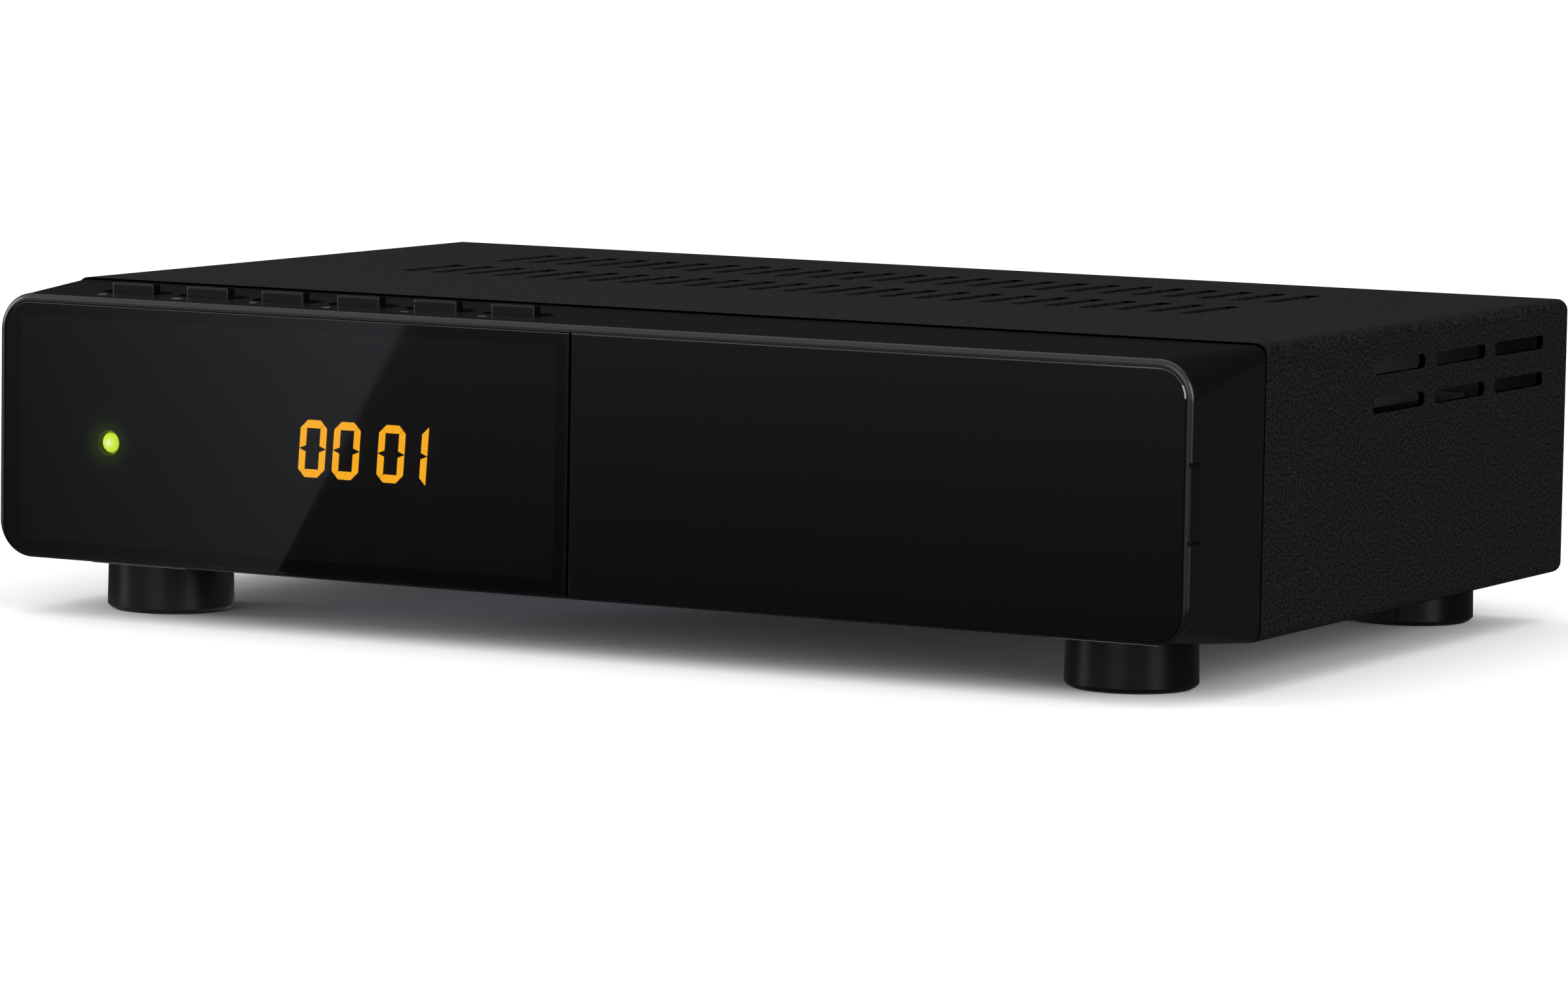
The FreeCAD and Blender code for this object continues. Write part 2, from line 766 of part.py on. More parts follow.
def bezel_cuts():
    """The rooms behind the front wall, the panels' recess, the flap's bay and every opening."""
    behind = "spigot_length + spare"
    heights = ("cavity_bottom", "cavity_top")
    through_wall = ("seat_y - spare", "wall_back + spare")
    cuts = [
        block("bezel_left_room", ("0 - cavity_side", "bay_wall_left"), ("wall_back", behind), heights),
        block("bezel_right_room", ("bay_wall_left - spare", "cavity_side"), ("fascia_back", behind),
              heights),
        slab("bezel_recess", ("0 - panel_side - panel_gap", "panel_side + panel_gap"),
             ("0 - bezel_depth - spare", "seat_y"), ("panel_bottom - panel_gap", "panel_top + panel_gap"),
             "panel_corner + panel_gap"),
        block("bezel_bay", ("bay_left", "bay_right"), ("seat_y - spare", "fascia_front"),
              ("bay_bottom", "bay_top")),
        block("bezel_swing_room", ("bay_left", "hinge_x + knuckle_radius"),
              ("seat_y - spare", "hinge_y + swing_reach"),
              ("panel_bottom - panel_gap", "panel_top + panel_gap")),
        block("bezel_display_hole",
              ("display_x - display_width / 2 - display_gap",
               "display_x + display_width / 2 + display_gap"),
              through_wall,
              ("display_height - display_tall / 2 - display_gap",
               "display_height + display_tall / 2 + display_gap")),
        rod("bezel_led_hole", "led_radius + display_gap", "y", *through_wall, x="led_place_x", z="led_z"),
        rod("bezel_sensor_hole", "sensor_radius + display_gap", "y", *through_wall,
            x="sensor_place_x", z="sensor_z"),
        block("bezel_usb_hole",
              ("usb_place_x - usb_width / 2 - cutout_gap", "usb_place_x + usb_width / 2 + cutout_gap"),
              ("fascia_front - spare", "fascia_back + spare"),
              ("board_top - cutout_gap", "board_top + usb_height + cutout_gap")),
        finger_scoop(),
        *finger_notches(),
    ]
    half = "(key_slot_width - key_slot_depth) / 2"
    for index in range(len(KEY_NAMES)):
        middle = key_x(index)
        cuts.append(slot_plug(f"bezel_key_slot_{index + 1}",
                              (f"{middle} - {half}", f"{middle} + {half}"), "key_slot_y",
                              "key_slot_depth / 2", ("cavity_top - spare", "case_height + spare")))
    for name, sign in SIDES.items():
        cuts.append(block(f"bezel_{name}_ear_notch",
                          (f"{sign} foot_x - (ear_width / 2 + ear_gap)",
                           f"{sign} foot_x + (ear_width / 2 + ear_gap)"),
                          ("0 - ear_reach - ear_gap", behind), ("0 - spare", "steel + ear_gap / 2")))
    return cuts


def front_bezel():
    solids = [cut("bezel_hollow", bezel_skin(), *bezel_cuts())]
    holes = [rod("lug_bore", "hinge_pin_radius + hinge_play", "z", "bay_bottom", "bay_top",
                 x="hinge_x", y="hinge_y")]
    for name, heights in (("low", ("bay_bottom", "lug_low")), ("high", ("lug_high", "bay_top"))):
        solids.append(block(f"lug_{name}_web", ("hinge_x - lug_web / 2", "hinge_x + lug_web / 2"),
                            ("hinge_y", "fascia_front + root"), heights))
        solids.append(rod(f"lug_{name}_eye", "lug_radius", "z", *heights, x="hinge_x", y="hinge_y"))
    for index, (x, z) in enumerate(FRONT_SCREWS):
        solids.append(rod(f"board_boss_{index + 1}", "front_boss_radius", "y", "wall_back - root",
                          "front_board_y", x=x, z=z))
        holes.append(rod(f"board_boss_hole_{index + 1}", "front_screw_radius", "y",
                         "wall_back + front_boss_floor", "front_board_y + spare", x=x, z=z))
    for name, sign in SIDES.items():
        at = {"x": f"{sign} foot_x", "y": "0 - front_foot_y"}
        solids.append(rod(f"foot_boss_{name}", "foot_screw_radius + foot_boss_wall", "z",
                          "cavity_bottom - root", "foot_boss_top", **at))
        holes.append(rod(f"foot_boss_hole_{name}", "foot_screw_radius", "z", "0 - spare",
                         "foot_boss_top + spare", **at))
    piece("front_bezel", cut("bezel_finished", join("bezel_whole", *solids), *holes))


# Window, flap and hinge


def panel(name, x, front, corners_at, square_edge):
    """A front panel with rounded outer corners and a fine bevel round its front, except on its square edge."""
    body = slab(name, x, (front, "panel_back"), ("panel_bottom", "panel_top"), "panel_corner", corners_at)
    dress(body, "Chamfer", "panel_bevel", lambda edge: near(level(edge, "Y"), number(front))
          and not near(level(edge, "X"), number(square_edge)))
    return body


def display_window():
    plate = panel("window_plate", ("0 - panel_side", "window_edge"), "panel_front", (0,), "window_edge")
    relief = block("window_edge_relief", ("window_edge - window_relief", "window_edge + spare"),
                   ("panel_front + window_lip", "panel_back + spare"),
                   ("panel_bottom - spare", "panel_top + spare"))
    piece("display_window", cut("window_relieved", plate, relief))


def window_tape():
    inset = "2 * panel_gap"
    outside = slab("tape_outside", (f"{inset} - panel_side", "bay_left - tape"), ("panel_back", "seat_y"),
                   (f"panel_bottom + {inset}", f"panel_top - {inset}"), f"panel_corner - {inset}", (0,))
    inside = block("tape_inside", (f"{inset} + tape_width - panel_side", "bay_left - tape - tape_width"),
                   ("panel_back - spare", "seat_y + spare"),
                   (f"panel_bottom + {inset} + tape_width", f"panel_top - {inset} - tape_width"))
    piece("window_tape", cut("tape_frame", outside, inside))


def flap_door():
    plate = panel("flap_plate", ("flap_edge", "panel_side"), "flap_front", (1,), "flap_edge")
    dress(plate, "Fillet", "flap_edge_round", lambda edge: near(level(edge, "Y"), number("flap_front"))
          and near(level(edge, "X"), number("flap_edge")))
    solids = [plate, block("flap_catch", ("bay_right - catch_gap - catch_thickness", "bay_right - catch_gap"),
                           ("panel_back - root", "panel_back + catch_reach"),
                           ("plate_middle - catch_width / 2", "plate_middle + catch_width / 2"))]
    notches = []
    pin_holes = []
    ends = {
        "low": ("bay_bottom - lug_clearance", "lug_low + lug_clearance", "knuckle_low"),
        "high": ("lug_high - lug_clearance", "bay_top + lug_clearance", "knuckle_high - knuckle_length"),
    }
    for name, (start, end, knuckle) in ends.items():
        solids.append(rod(f"flap_knuckle_{name}", "knuckle_radius", "z", knuckle,
                          f"{knuckle} + knuckle_length", x="hinge_x", y="hinge_y"))
        notches.append(block(f"flap_notch_{name}",
                             ("flap_edge - spare", "hinge_x + lug_radius + lug_clearance"),
                             ("panel_front + flap_skin", "hinge_y + 2 * knuckle_radius"), (start, end)))
        pin_holes.append(hinge_pin(f"pin_hole_{name}", name))
    piece("flap_door", cut("flap_finished", join("flap_whole", *solids), *notches, *pin_holes))


def hinge_pin(name, end):
    """One hinge pin: pressed into the flap's knuckle, turning in the bezel's lug."""
    start = {"low": "bay_bottom + hinge_play", "high": "bay_top - hinge_play - hinge_pin_length"}[end]
    return rod(name, "hinge_pin_radius", "z", start, f"{start} + hinge_pin_length", x="hinge_x", y="hinge_y")


def hinge_pins():
    piece("hinge_pins", hinge_pin("pin_low", "low"), hinge_pin("pin_high", "high"))


# Keys


def keys():
    for index, name in enumerate(KEY_NAMES):
        middle = key_x(index)
        cap = new_body(f"{name}_cap")
        sketch = sketch_on(cap, "XY_Plane", "key_flange_top")
        draw_rectangle(sketch, (f"{middle} - key_width / 2", f"{middle} + key_width / 2"),
                       ("key_y - key_depth / 2", "key_y + key_depth / 2"))
        pad(cap, sketch, "key_top - key_flange_top")
        dress(cap, "Fillet", "key_round", lambda edge: not near(level(edge, "Z"), number("key_flange_top")))
        flange = block(f"{name}_flange",
                       (f"{middle} - key_width / 2 - key_flange_margin",
                        f"{middle} + key_width / 2 + key_flange_margin"),
                       ("key_slot_y - key_slot_depth / 2 - key_flange_overlap",
                        "key_slot_y + key_slot_depth / 2 + key_flange_overlap"),
                       ("key_flange_bottom", "key_flange_top"))
        stem = block(f"{name}_stem", (f"{middle} - key_stem / 2", f"{middle} + key_stem / 2"),
                     ("key_y - key_stem / 2", "key_y + key_stem / 2"), ("plunger_top", "key_flange_bottom"))
        piece(f"{name}_key", join(f"{name}_whole", cap, flange, stem))
        piece(f"{name}_plunger", rod(f"{name}_plunger_rod", "plunger_radius", "z",
                                     "switch_top - 2 * key_travel", "plunger_top", x=middle, y="key_y"))


def key_switches():
    switches = []
    for index in range(len(KEY_NAMES)):
        middle = key_x(index)
        case = block(f"switch_{index + 1}",
                     (f"{middle} - switch_width / 2", f"{middle} + switch_width / 2"),
                     ("key_y - 2 * plunger_radius", "front_board_y"),
                     ("switch_top - switch_height", "switch_top"))
        well = rod(f"switch_well_{index + 1}", "plunger_radius + plunger_gap", "z",
                   "switch_top - 4 * key_travel", "switch_top + spare", x=middle, y="key_y")
        switches.append(cut(f"switch_case_{index + 1}", case, well))
    piece("key_switches", *switches)


# Front board


def screw(name, along, seat, tip, head, radius, **at):
    """A pan-head screw: its shank from the seat to the tip, its head from the seat outwards."""
    low, high = (seat, tip) if number(tip) > number(seat) else (tip, seat)
    head_low, head_high = (seat, head) if number(head) > number(seat) else (head, seat)
    shank = rod(f"{name}_shank", radius, along, low, high, **at)
    cap = rod(f"{name}_head", f"2 * ({radius})", along, head_low, head_high, **at)
    return join(name, shank, cap)


def front_board():
    plate = block("front_board_plate", ("front_board_left", "front_board_right"),
                  ("front_board_y", "front_board_back"), ("front_board_bottom", "front_board_top"))
    holes = [rod(f"front_board_hole_{index + 1}", "front_screw_radius + hole_clearance", "y",
                 "front_board_y - spare", "front_board_back + spare", x=x, z=z)
             for index, (x, z) in enumerate(FRONT_SCREWS)]
    piece("front_board", cut("front_board_drilled", plate, *holes))
    piece("front_board_screws", *[
        screw(f"front_screw_{index + 1}", "y", "front_board_back", "wall_back + spare",
              "front_board_back + front_screw_head", "front_screw_radius", x=x, z=z)
        for index, (x, z) in enumerate(FRONT_SCREWS)])


def display_module():
    piece("display_module", block("display_block",
                                  ("display_x - display_width / 2", "display_x + display_width / 2"),
                                  ("seat_y", "front_board_y"),
                                  ("display_height - display_tall / 2", "display_height + display_tall / 2")))


def standby_led():
    at = {"x": "led_place_x", "z": "led_z"}
    dome = doc.addObject("Part::Sphere", "led_dome")
    dome.setExpression("Radius", bound("led_radius"))
    set_place(dome, y="seat_y + led_radius", **at)
    solids = [dome, rod("led_barrel", "led_radius", "y", "seat_y + led_radius", "wall_back + spare", **at),
              rod("led_rim", "led_flange", "y", "wall_back", "wall_back + spare", **at)]
    for name, sign in SIDES.items():
        wire = f"led_place_x + ({sign} led_radius / 2)"
        solids.append(block(f"led_{name}_wire", (f"{wire} - led_wire / 2", f"{wire} + led_wire / 2"),
                            ("wall_back + root", "front_board_y"),
                            ("led_z - led_wire / 2", "led_z + led_wire / 2")))
    piece("standby_led", join("led_whole", *solids))


def infrared_sensor():
    half = "sensor_body / 2"
    eye = rod("sensor_eye", "sensor_radius", "y", "seat_y + display_gap", "wall_back + spare",
              x="sensor_place_x", z="sensor_z")
    body = block("sensor_body_block", (f"sensor_place_x - {half}", f"sensor_place_x + {half}"),
                 ("wall_back", "front_board_y"), (f"sensor_z - {half}", f"sensor_z + {half}"))
    piece("infrared_sensor", join("sensor_whole", eye, body))


# Case


def top_cover():
    """Top, sides and the flanges turned in below them, bent from one sheet, with the vents punched in."""
    body = new_body("cover_body")
    outside = sketch_on(body, "XZ_Plane", "0 - case_depth")
    rounded_rectangle(outside, ("0 - side", "side"), ("0", "case_height"), "bend_radius")
    pad(body, outside, "case_depth - cover_gap")
    inside = sketch_on(body, "XZ_Plane", "0 - case_depth - spare")
    rounded_rectangle(inside, ("0 - cover_inner_side", "cover_inner_side"),
                      ("steel", "cover_inner_top"), "bend_radius - steel")
    pocket(body, inside, reverse=True)
    below = sketch_on(body, "XY_Plane", "0 - spare")
    draw_rectangle(below, ("0 - flange_edge", "flange_edge"), ("0", "case_depth + spare"))
    pocket(body, below, "spare + 2 * steel", reverse=True)
    lip = sketch_on(body, "XZ_Plane", "0 - case_depth")
    draw_rectangle(lip, ("lip_inset - side", "side - lip_inset"),
                   ("case_height - lip_height", "cover_inner_top + steel / 2"))
    pad(body, lip, "steel")
    top = sketch_on(body, "XY_Plane", "case_height + spare")
    first = "0 - vent_shift - (vent_count - 1) * vent_pitch / 2"
    draw_slot(top, (first, first),
              ("vent_front + vent_width / 2", "vent_front + vent_length - vent_width / 2"), "vent_width / 2")
    slot = pocket(body, top, "spare + 2 * steel")
    row = repeat(body, slot, top, "H_Axis", "vent_count", "vent_pitch")
    row.Direction2 = (top, ["V_Axis"])
    row.setExpression("Occurrences2", bound("vent_row_count"))
    row.setExpression("Length2", bound("(vent_row_count - 1) * vent_row_pitch"))
    flank = sketch_on(body, "YZ_Plane", "side + spare")
    height = "case_height - side_vent_drop"
    draw_slot(flank, ("side_vent_front + side_vent_width / 2",
                      "side_vent_front + side_vent_length - side_vent_width / 2"), (height, height),
              "side_vent_width / 2")
    slot = pocket(body, flank)
    rows = repeat(body, slot, flank, "H_Axis", "side_vent_count", "side_vent_pitch")
    rows.Direction2 = (flank, ["V_Axis"])
    rows.Occurrences2 = 2
    rows.setExpression("Length2", bound("side_vent_row_pitch"))
    holes = [rod(f"cover_hole_{name}", "screw_radius + hole_clearance", "y", "wall_out - spare",
                 "case_depth + spare", x=x, z="cover_screw_z") for name, x in COVER_SCREWS.items()]
    piece("top_cover", cut("cover_drilled", body, *holes))
    piece("cover_screws", *[
        screw(f"cover_screw_{name}", "y", "case_depth", "wall_in - cover_screw_grip",
              "case_depth + screw_head_height", "screw_radius", x=x, z="cover_screw_z")
        for name, x in COVER_SCREWS.items()])


def base_tray():
    """Floor, low side walls, rear wall and the two front ears, folded from one sheet."""
    sheets = [
        block("tray_floor", ("0 - floor_edge", "floor_edge"), ("cover_gap", "wall_out"), ("0", "steel")),
        slab("tray_rear_wall", ("slide_gap - cover_inner_side", "cover_inner_side - slide_gap"),
             ("wall_in", "wall_out"), ("steel + slide_gap", "cover_inner_top - slide_gap"),
             "bend_radius - steel"),
        block("tray_rear_bend", ("0 - floor_edge", "floor_edge"), ("wall_in", "wall_out"),
              ("0", "2 * bend_radius")),
    ]
    holes = []
    for name, sign in SIDES.items():
        edges = f"{sign} (floor_edge - steel)", f"{sign} floor_edge"
        low, high = sorted(edges, key=number)
        sheets.append(block(f"tray_{name}_wall", (low, high), ("2 * spigot_length", "wall_in + steel / 2"),
                            ("0", "tray_wall_height")))
        middle = f"{sign} foot_x"
        sheets.append(block(f"tray_{name}_ear",
                            (f"{middle} - ear_width / 2", f"{middle} + ear_width / 2"),
                            ("0 - ear_reach", "cover_gap + spare"), ("0", "steel")))
        sheets.append(rod(f"tray_{name}_collar", "foot_screw_radius + steel", "z", "0", "3 * steel",
                          x=middle, y="rear_foot_y"))
        holes.append(rod(f"tray_{name}_ear_hole", "foot_screw_radius + hole_clearance", "z", "0 - spare",
                         "steel + spare", x=middle, y="0 - front_foot_y"))
        holes.append(rod(f"tray_{name}_rear_hole", "foot_screw_radius", "z", "0 - spare", "3 * steel + spare",
                         x=middle, y="rear_foot_y"))
    through = ("wall_in - spare", "wall_out + spare")
    for name, x in COVER_SCREWS.items():
        holes.append(rod(f"tray_cover_hole_{name}", "screw_radius", "y", *through, x=x,
                         z="cover_screw_z"))
    holes += [
        rod("lnb_hole", "lnb_neck_radius + hole_clearance", "y", *through, x="lnb_place_x", z="lnb_z"),
        rod("audio_hole", "audio_collar_radius + cutout_gap / 2", "y", *through, x="audio_x", z="audio_z"),
        rod("dc_hole", "dc_width / 2 - cutout_gap", "y", *through, x="dc_x", z="dc_z"),
        block("hdmi_hole",
              ("hdmi_x - hdmi_width / 2 - cutout_gap", "hdmi_x + hdmi_width / 2 + cutout_gap"),
              through, ("board_top - cutout_gap", "board_top + hdmi_height + cutout_gap")),
        block("scart_hole", ("scart_left - cutout_gap", "scart_right + cutout_gap"), through,
              ("board_top - cutout_gap", "scart_top + cutout_gap")),
    ]
    piece("base_tray", cut("tray_finished", join("tray_whole", *sheets), *holes))


def feet():
    pads = []
    screws = []
    for name, (x, y) in FEET.items():
        edge = cone(f"{name}_edge", "foot_radius - foot_edge", "foot_radius", "foot_bottom",
                    "foot_bottom + foot_edge", x, y)
        barrel = cone(f"{name}_cone", "foot_radius", "foot_top_radius", "foot_bottom + foot_edge", "0", x, y)
        blank = join(f"{name}_blank", edge, barrel)
        head_room = rod(f"{name}_head_room", "foot_head_radius + hole_clearance", "z", "foot_bottom - spare",
                        "foot_seat", x=x, y=y)
        bore = rod(f"{name}_bore", "foot_screw_radius + hole_clearance", "z", "foot_bottom", "spare",
                   x=x, y=y)
        pad_room = rod(f"{name}_pad_room", "pad_radius + pad_gap", "z", "foot_bottom - spare", "pad_top",
                       x=x, y=y)
        piece(f"{name}_foot", cut(f"{name}_drilled", blank, head_room, bore, pad_room))
        pads.append(rod(f"{name}_pad", "pad_radius", "z", "0 - foot_height", "pad_top", x=x, y=y))
        screws.append(screw(f"{name}_screw", "z", "foot_seat", "foot_screw_top",
                            "foot_seat - foot_head_height", "foot_screw_radius", x=x, y=y))
    piece("foot_pads", *pads)
    piece("foot_screws", *screws)


# Main board


def main_board():
    plate = block("board_plate", ("0 - board_edge", "board_edge"), ("board_front", "board_back"),
                  ("board_z", "board_top"))
    tongue = block("board_tongue",
                   ("usb_place_x - board_tongue_width / 2", "usb_place_x + board_tongue_width / 2"),
                   ("0 - board_tongue_front", "board_front + spare"), ("board_z", "board_top"))
    holes = []
    standoffs = []
    screws = []
    for index, (x, y) in enumerate(BOARD_SCREWS):
        holes.append(rod(f"board_hole_{index + 1}", "screw_radius + hole_clearance", "z", "board_z - spare",
                         "board_top + spare", x=x, y=y))
        post = rod(f"standoff_post_{index + 1}", "standoff_radius", "z", "steel", "board_z", x=x, y=y)
        thread = rod(f"standoff_thread_{index + 1}", "screw_radius", "z", "steel", "board_z + spare",
                     x=x, y=y)
        standoffs.append(cut(f"standoff_{index + 1}", post, thread))
        screws.append(screw(f"board_screw_{index + 1}", "z", "board_top", "steel + standoff_height / 4",
                            "board_top + screw_head_height", "screw_radius", x=x, y=y))
    piece("main_board", cut("board_drilled", join("board_blank", plate, tongue), *holes))
    piece("board_standoffs", *standoffs)
    piece("board_screws", *screws)


def board_parts():
    half = "chip_size / 2"
    square = (f"chip_x - {half}", f"chip_x + {half}"), (f"chip_y - {half}", f"chip_y + {half}")
    piece("processor", block("chip", *square, ("board_top", "chip_top")))
    piece("thermal_pad", block("heat_film", *square, ("chip_top", "sink_bottom")))
    low, high = "chip_x - sink_size / 2", "chip_x + sink_size / 2"
    depth = ("chip_y - sink_size / 2", "chip_y + sink_size / 2")
    parts = [block("sink_plate", (low, high), depth, ("sink_bottom", "sink_bottom + sink_base"))]
    fins = int(number("fin_count"))
    for index in range(fins):
        start = f"{low} + {index} * (sink_size - fin) / (fin_count - 1)"
        parts.append(block(f"fin_{index + 1}", (start, f"{start} + fin"), depth,
                           ("sink_bottom + sink_base / 2", "sink_bottom + sink_height")))
    piece("heat_sink", join("sink_whole", *parts))
    memory = []
    for index in range(2):
        left = f"{low} - (memory_width + memory_gap) * {index + 1}"
        memory.append(block(f"memory_{index + 1}", (left, f"{left} + memory_width"),
                            ("chip_y - memory_length / 2", "chip_y + memory_length / 2"),
                            ("board_top", "board_top + memory_thickness")))
    piece("memory_chips", *memory)
    cans = []
    for index in range(int(number("capacitor_count"))):
        cans.append(rod(f"capacitor_{index + 1}", "capacitor_radius", "z", "board_top",
                        "board_top + capacitor_height", x=f"dc_x + {index} * capacitor_pitch",
                        y="capacitor_y"))
    piece("filter_capacitors", *cans)
    coils = []
    for index in range(2):
        left = f"dc_x + {index} * inductor_pitch"
        coils.append(block(f"inductor_{index + 1}", (left, f"{left} + inductor_size"),
                           ("inductor_back - inductor_size", "inductor_back"),
                           ("board_top", "board_top + inductor_height")))
    piece("power_inductors", *coils)


def cable():
    """The flat cable from the front board to the main board, with a socket at each end."""
    x = ("cable_place_x - cable_width / 2", "cable_place_x + cable_width / 2")
    wide = (f"{x[0]} - cable_socket_margin", f"{x[1]} + cable_socket_margin")
    drop = "board_front + cable_socket_depth"
    low = "board_top + cable_socket_height"
    height = f"({low} + cable_rise)"
    front_back = "front_board_back + cable_socket_depth"
    half = "cable_socket_height / 2"
    piece("cable_sockets",
          block("front_cable_socket", wide, ("front_board_back", front_back),
                (f"{height} - {half}", f"{height} + {half}")),
          block("board_cable_socket", wide, (f"{drop} - {half}", f"{drop} + {half}"), ("board_top", low)))
    piece("flat_cable", join(
        "cable_whole",
        block("cable_run", x, (front_back, f"{drop} + cable_thickness / 2"),
              (f"{height} - cable_thickness / 2", f"{height} + cable_thickness / 2")),
        block("cable_drop", x, (f"{drop} - cable_thickness / 2", f"{drop} + cable_thickness / 2"),
              (low, f"{height} + cable_thickness / 2"))))


# Rear sockets


def aerial_input():
    """The tuner's screened can and the threaded aerial socket, clamped to the rear wall by its nut."""
    x = ("tuner_left", "tuner_left + tuner_width")
    top = "board_top + tuner_height"
    at = {"x": "lnb_place_x", "z": "lnb_z"}
    piece("tuner_can", block("tuner_box", x, ("tuner_front", "board_back"), ("board_top", top)))
    piece("tuner_lid", block("tuner_lid_sheet", x, ("tuner_front", "board_back"),
                             (top, f"{top} + tuner_lid")))
    nut_end = "wall_out + nut_thickness"
    barrel = join("lnb_whole", rod("lnb_thread", "lnb_radius", "y", "wall_in", "rear_reach", **at),
                  rod("lnb_neck", "lnb_neck_radius", "y", "board_back", nut_end, **at),
                  rod("lnb_flange", "lnb_neck_radius + lnb_shoulder", "y", "board_back", "wall_in", **at))
    bore = rod("lnb_bore_tool", "lnb_bore", "y", "board_back", "rear_reach + spare", **at)
    piece("lnb_socket", cut("lnb_bored", barrel, bore))
    insulator = rod("lnb_insulator_rod", "lnb_bore", "y", "board_back",
                    "rear_reach - lnb_insulator_drop", **at)
    hole = rod("lnb_contact_hole", "lnb_contact_radius", "y", "board_back", "rear_reach", **at)
    piece("lnb_insulator", cut("lnb_insulator_bored", insulator, hole))
    contact = rod("lnb_contact_rod", "lnb_contact_radius", "y", "board_back", "rear_reach - lnb_contact_drop",
                  **at)
    centre = rod("lnb_contact_hollow", "lnb_contact_bore", "y", "wall_out", "rear_reach", **at)
    piece("lnb_contact", cut("lnb_contact_drilled", contact, centre))
    nut = doc.addObject("Part::Prism", "nut_blank")
    nut.Polygon = 6
    nut.Placement = Placement(Vector(), AXES["y"])
    nut.setExpression("Circumradius", bound("nut_across / sqrt(3)"))
    nut.setExpression("Height", bound("nut_thickness"))
    set_place(nut, y="wall_out", **at)
    thread = rod("nut_hole", "lnb_neck_radius", "y", "wall_out - spare", f"{nut_end} + spare", **at)
    piece("lnb_nut", cut("nut_bored", nut, thread))


def audio_output():
    at = {"x": "audio_x", "z": "audio_z"}
    half = "audio_body / 2"
    piece("audio_socket_body", block("audio_block", (f"audio_x - {half}", f"audio_x + {half}"),
                                     ("wall_in - audio_body", "wall_in"),
                                     ("board_top", "audio_z + audio_radius + audio_roof")))
    end = "wall_out + audio_reach"
    tube = join("audio_tube", rod("audio_sleeve", "audio_radius", "y", "wall_in", end, **at),
                rod("audio_collar", "audio_collar_radius", "y", "wall_in", "wall_out", **at))
    bore = rod("audio_tube_bore", "audio_insert_radius", "y", "wall_in - spare", f"{end} + spare", **at)
    piece("audio_barrel", cut("audio_tube_bored", tube, bore))
    insert = rod("audio_insert_rod", "audio_insert_radius", "y", "wall_in", f"{end} - audio_insert_drop",
                 **at)
    contact = rod("audio_contact_hole", "audio_contact_radius", "y", "wall_out", f"{end} + spare", **at)
    piece("audio_insert", cut("audio_insert_bored", insert, contact))


def hdmi_output():
    x = ("hdmi_x - hdmi_width / 2", "hdmi_x + hdmi_width / 2")
    top = "board_top + hdmi_height"
    front = "hdmi_back - hdmi_depth"

    def outline(inset):
        left, right = f"{x[0]} + {inset}", f"{x[1]} - {inset}"
        low, high = f"board_top + {inset}", f"{top} - {inset}"
        return [(f"{left} + hdmi_bevel", low), (f"{right} - hdmi_bevel", low), (right, f"{low} + hdmi_bevel"),
                (right, high), (left, high), (left, f"{low} + hdmi_bevel")]

    shell = prism("hdmi_outside", outline("0"), (front, "hdmi_back"))
    room = prism("hdmi_inside", outline("hdmi_shell"), (f"{front} + hdmi_shell", "hdmi_back + spare"))
    piece("hdmi_shell", cut("hdmi_hollow", shell, room))
    middle = "board_top + hdmi_height / 2"
    piece("hdmi_tongue", block("hdmi_tongue_block",
                               (f"{x[0]} + hdmi_bevel", f"{x[1]} - hdmi_bevel"),
                               (f"{front} + hdmi_shell", "hdmi_back - hdmi_tongue_drop"),
                               (f"{middle} - hdmi_tongue / 2", f"{middle} + hdmi_tongue / 2")))


def scart_output():
    """The 21-pin socket: a skirt with one slanted corner around a block with two rows of contact slots."""

    def outline(inset):
        left, right = f"scart_left + {inset}", f"scart_right - {inset}"
        low, high = f"board_top + {inset}", f"scart_top - {inset}"
        return [(left, low), (right, low), (right, f"{high} - scart_slant"),
                (f"{right} - scart_slant", high), (left, high)]

    front = "wall_in - scart_depth"
    skirt = prism("scart_outside", outline("0"), (front, "scart_back"))
    room = prism("scart_inside", outline("scart_wall"), ("scart_back - scart_hollow", "scart_back + spare"))
    core = prism("scart_core", outline("(scart_wall + scart_groove)"),
                 ("scart_back - scart_hollow - root", "scart_back - scart_core_drop"))
    holes = []
    count = int(number("scart_slot_count"))
    for row in range(2):
        height = f"board_top + scart_height / 2 + ({row} - 0.5) * scart_row_gap"
        for index in range(count):
            middle = (f"(scart_left + scart_right) / 2 + ({index} - (scart_slot_count - 1) / 2) * scart_pitch"
                      f" + ({row} - 0.5) * scart_pitch / 2")
            holes.append(block(f"scart_slot_{row}_{index}",
                               (f"{middle} - scart_slot / 2", f"{middle} + scart_slot / 2"),
                               ("scart_back - scart_hollow / 2", "scart_back"),
                               (f"{height} - scart_slot", f"{height} + scart_slot")))
    shell = join("scart_whole", cut("scart_skirt", skirt, room), core)
    piece("scart_housing", cut("scart_finished", shell, *holes))


def dc_input():
    at = {"x": "dc_x", "z": "dc_z"}
    half = "dc_width / 2"
    body = block("dc_block", (f"dc_x - {half}", f"dc_x + {half}"), ("dc_front", "wall_in"),
                 ("board_top", "board_top + dc_height"))
    bore = rod("dc_bore_tool", "dc_bore", "y", "wall_in - dc_bore_depth", "wall_in + spare", **at)
    piece("dc_jack_body", cut("dc_bored", body, bore))
    piece("dc_jack_pin", rod("dc_pin", "dc_pin_radius", "y", "wall_in - dc_bore_depth",
                              "wall_in - dc_pin_drop", **at))


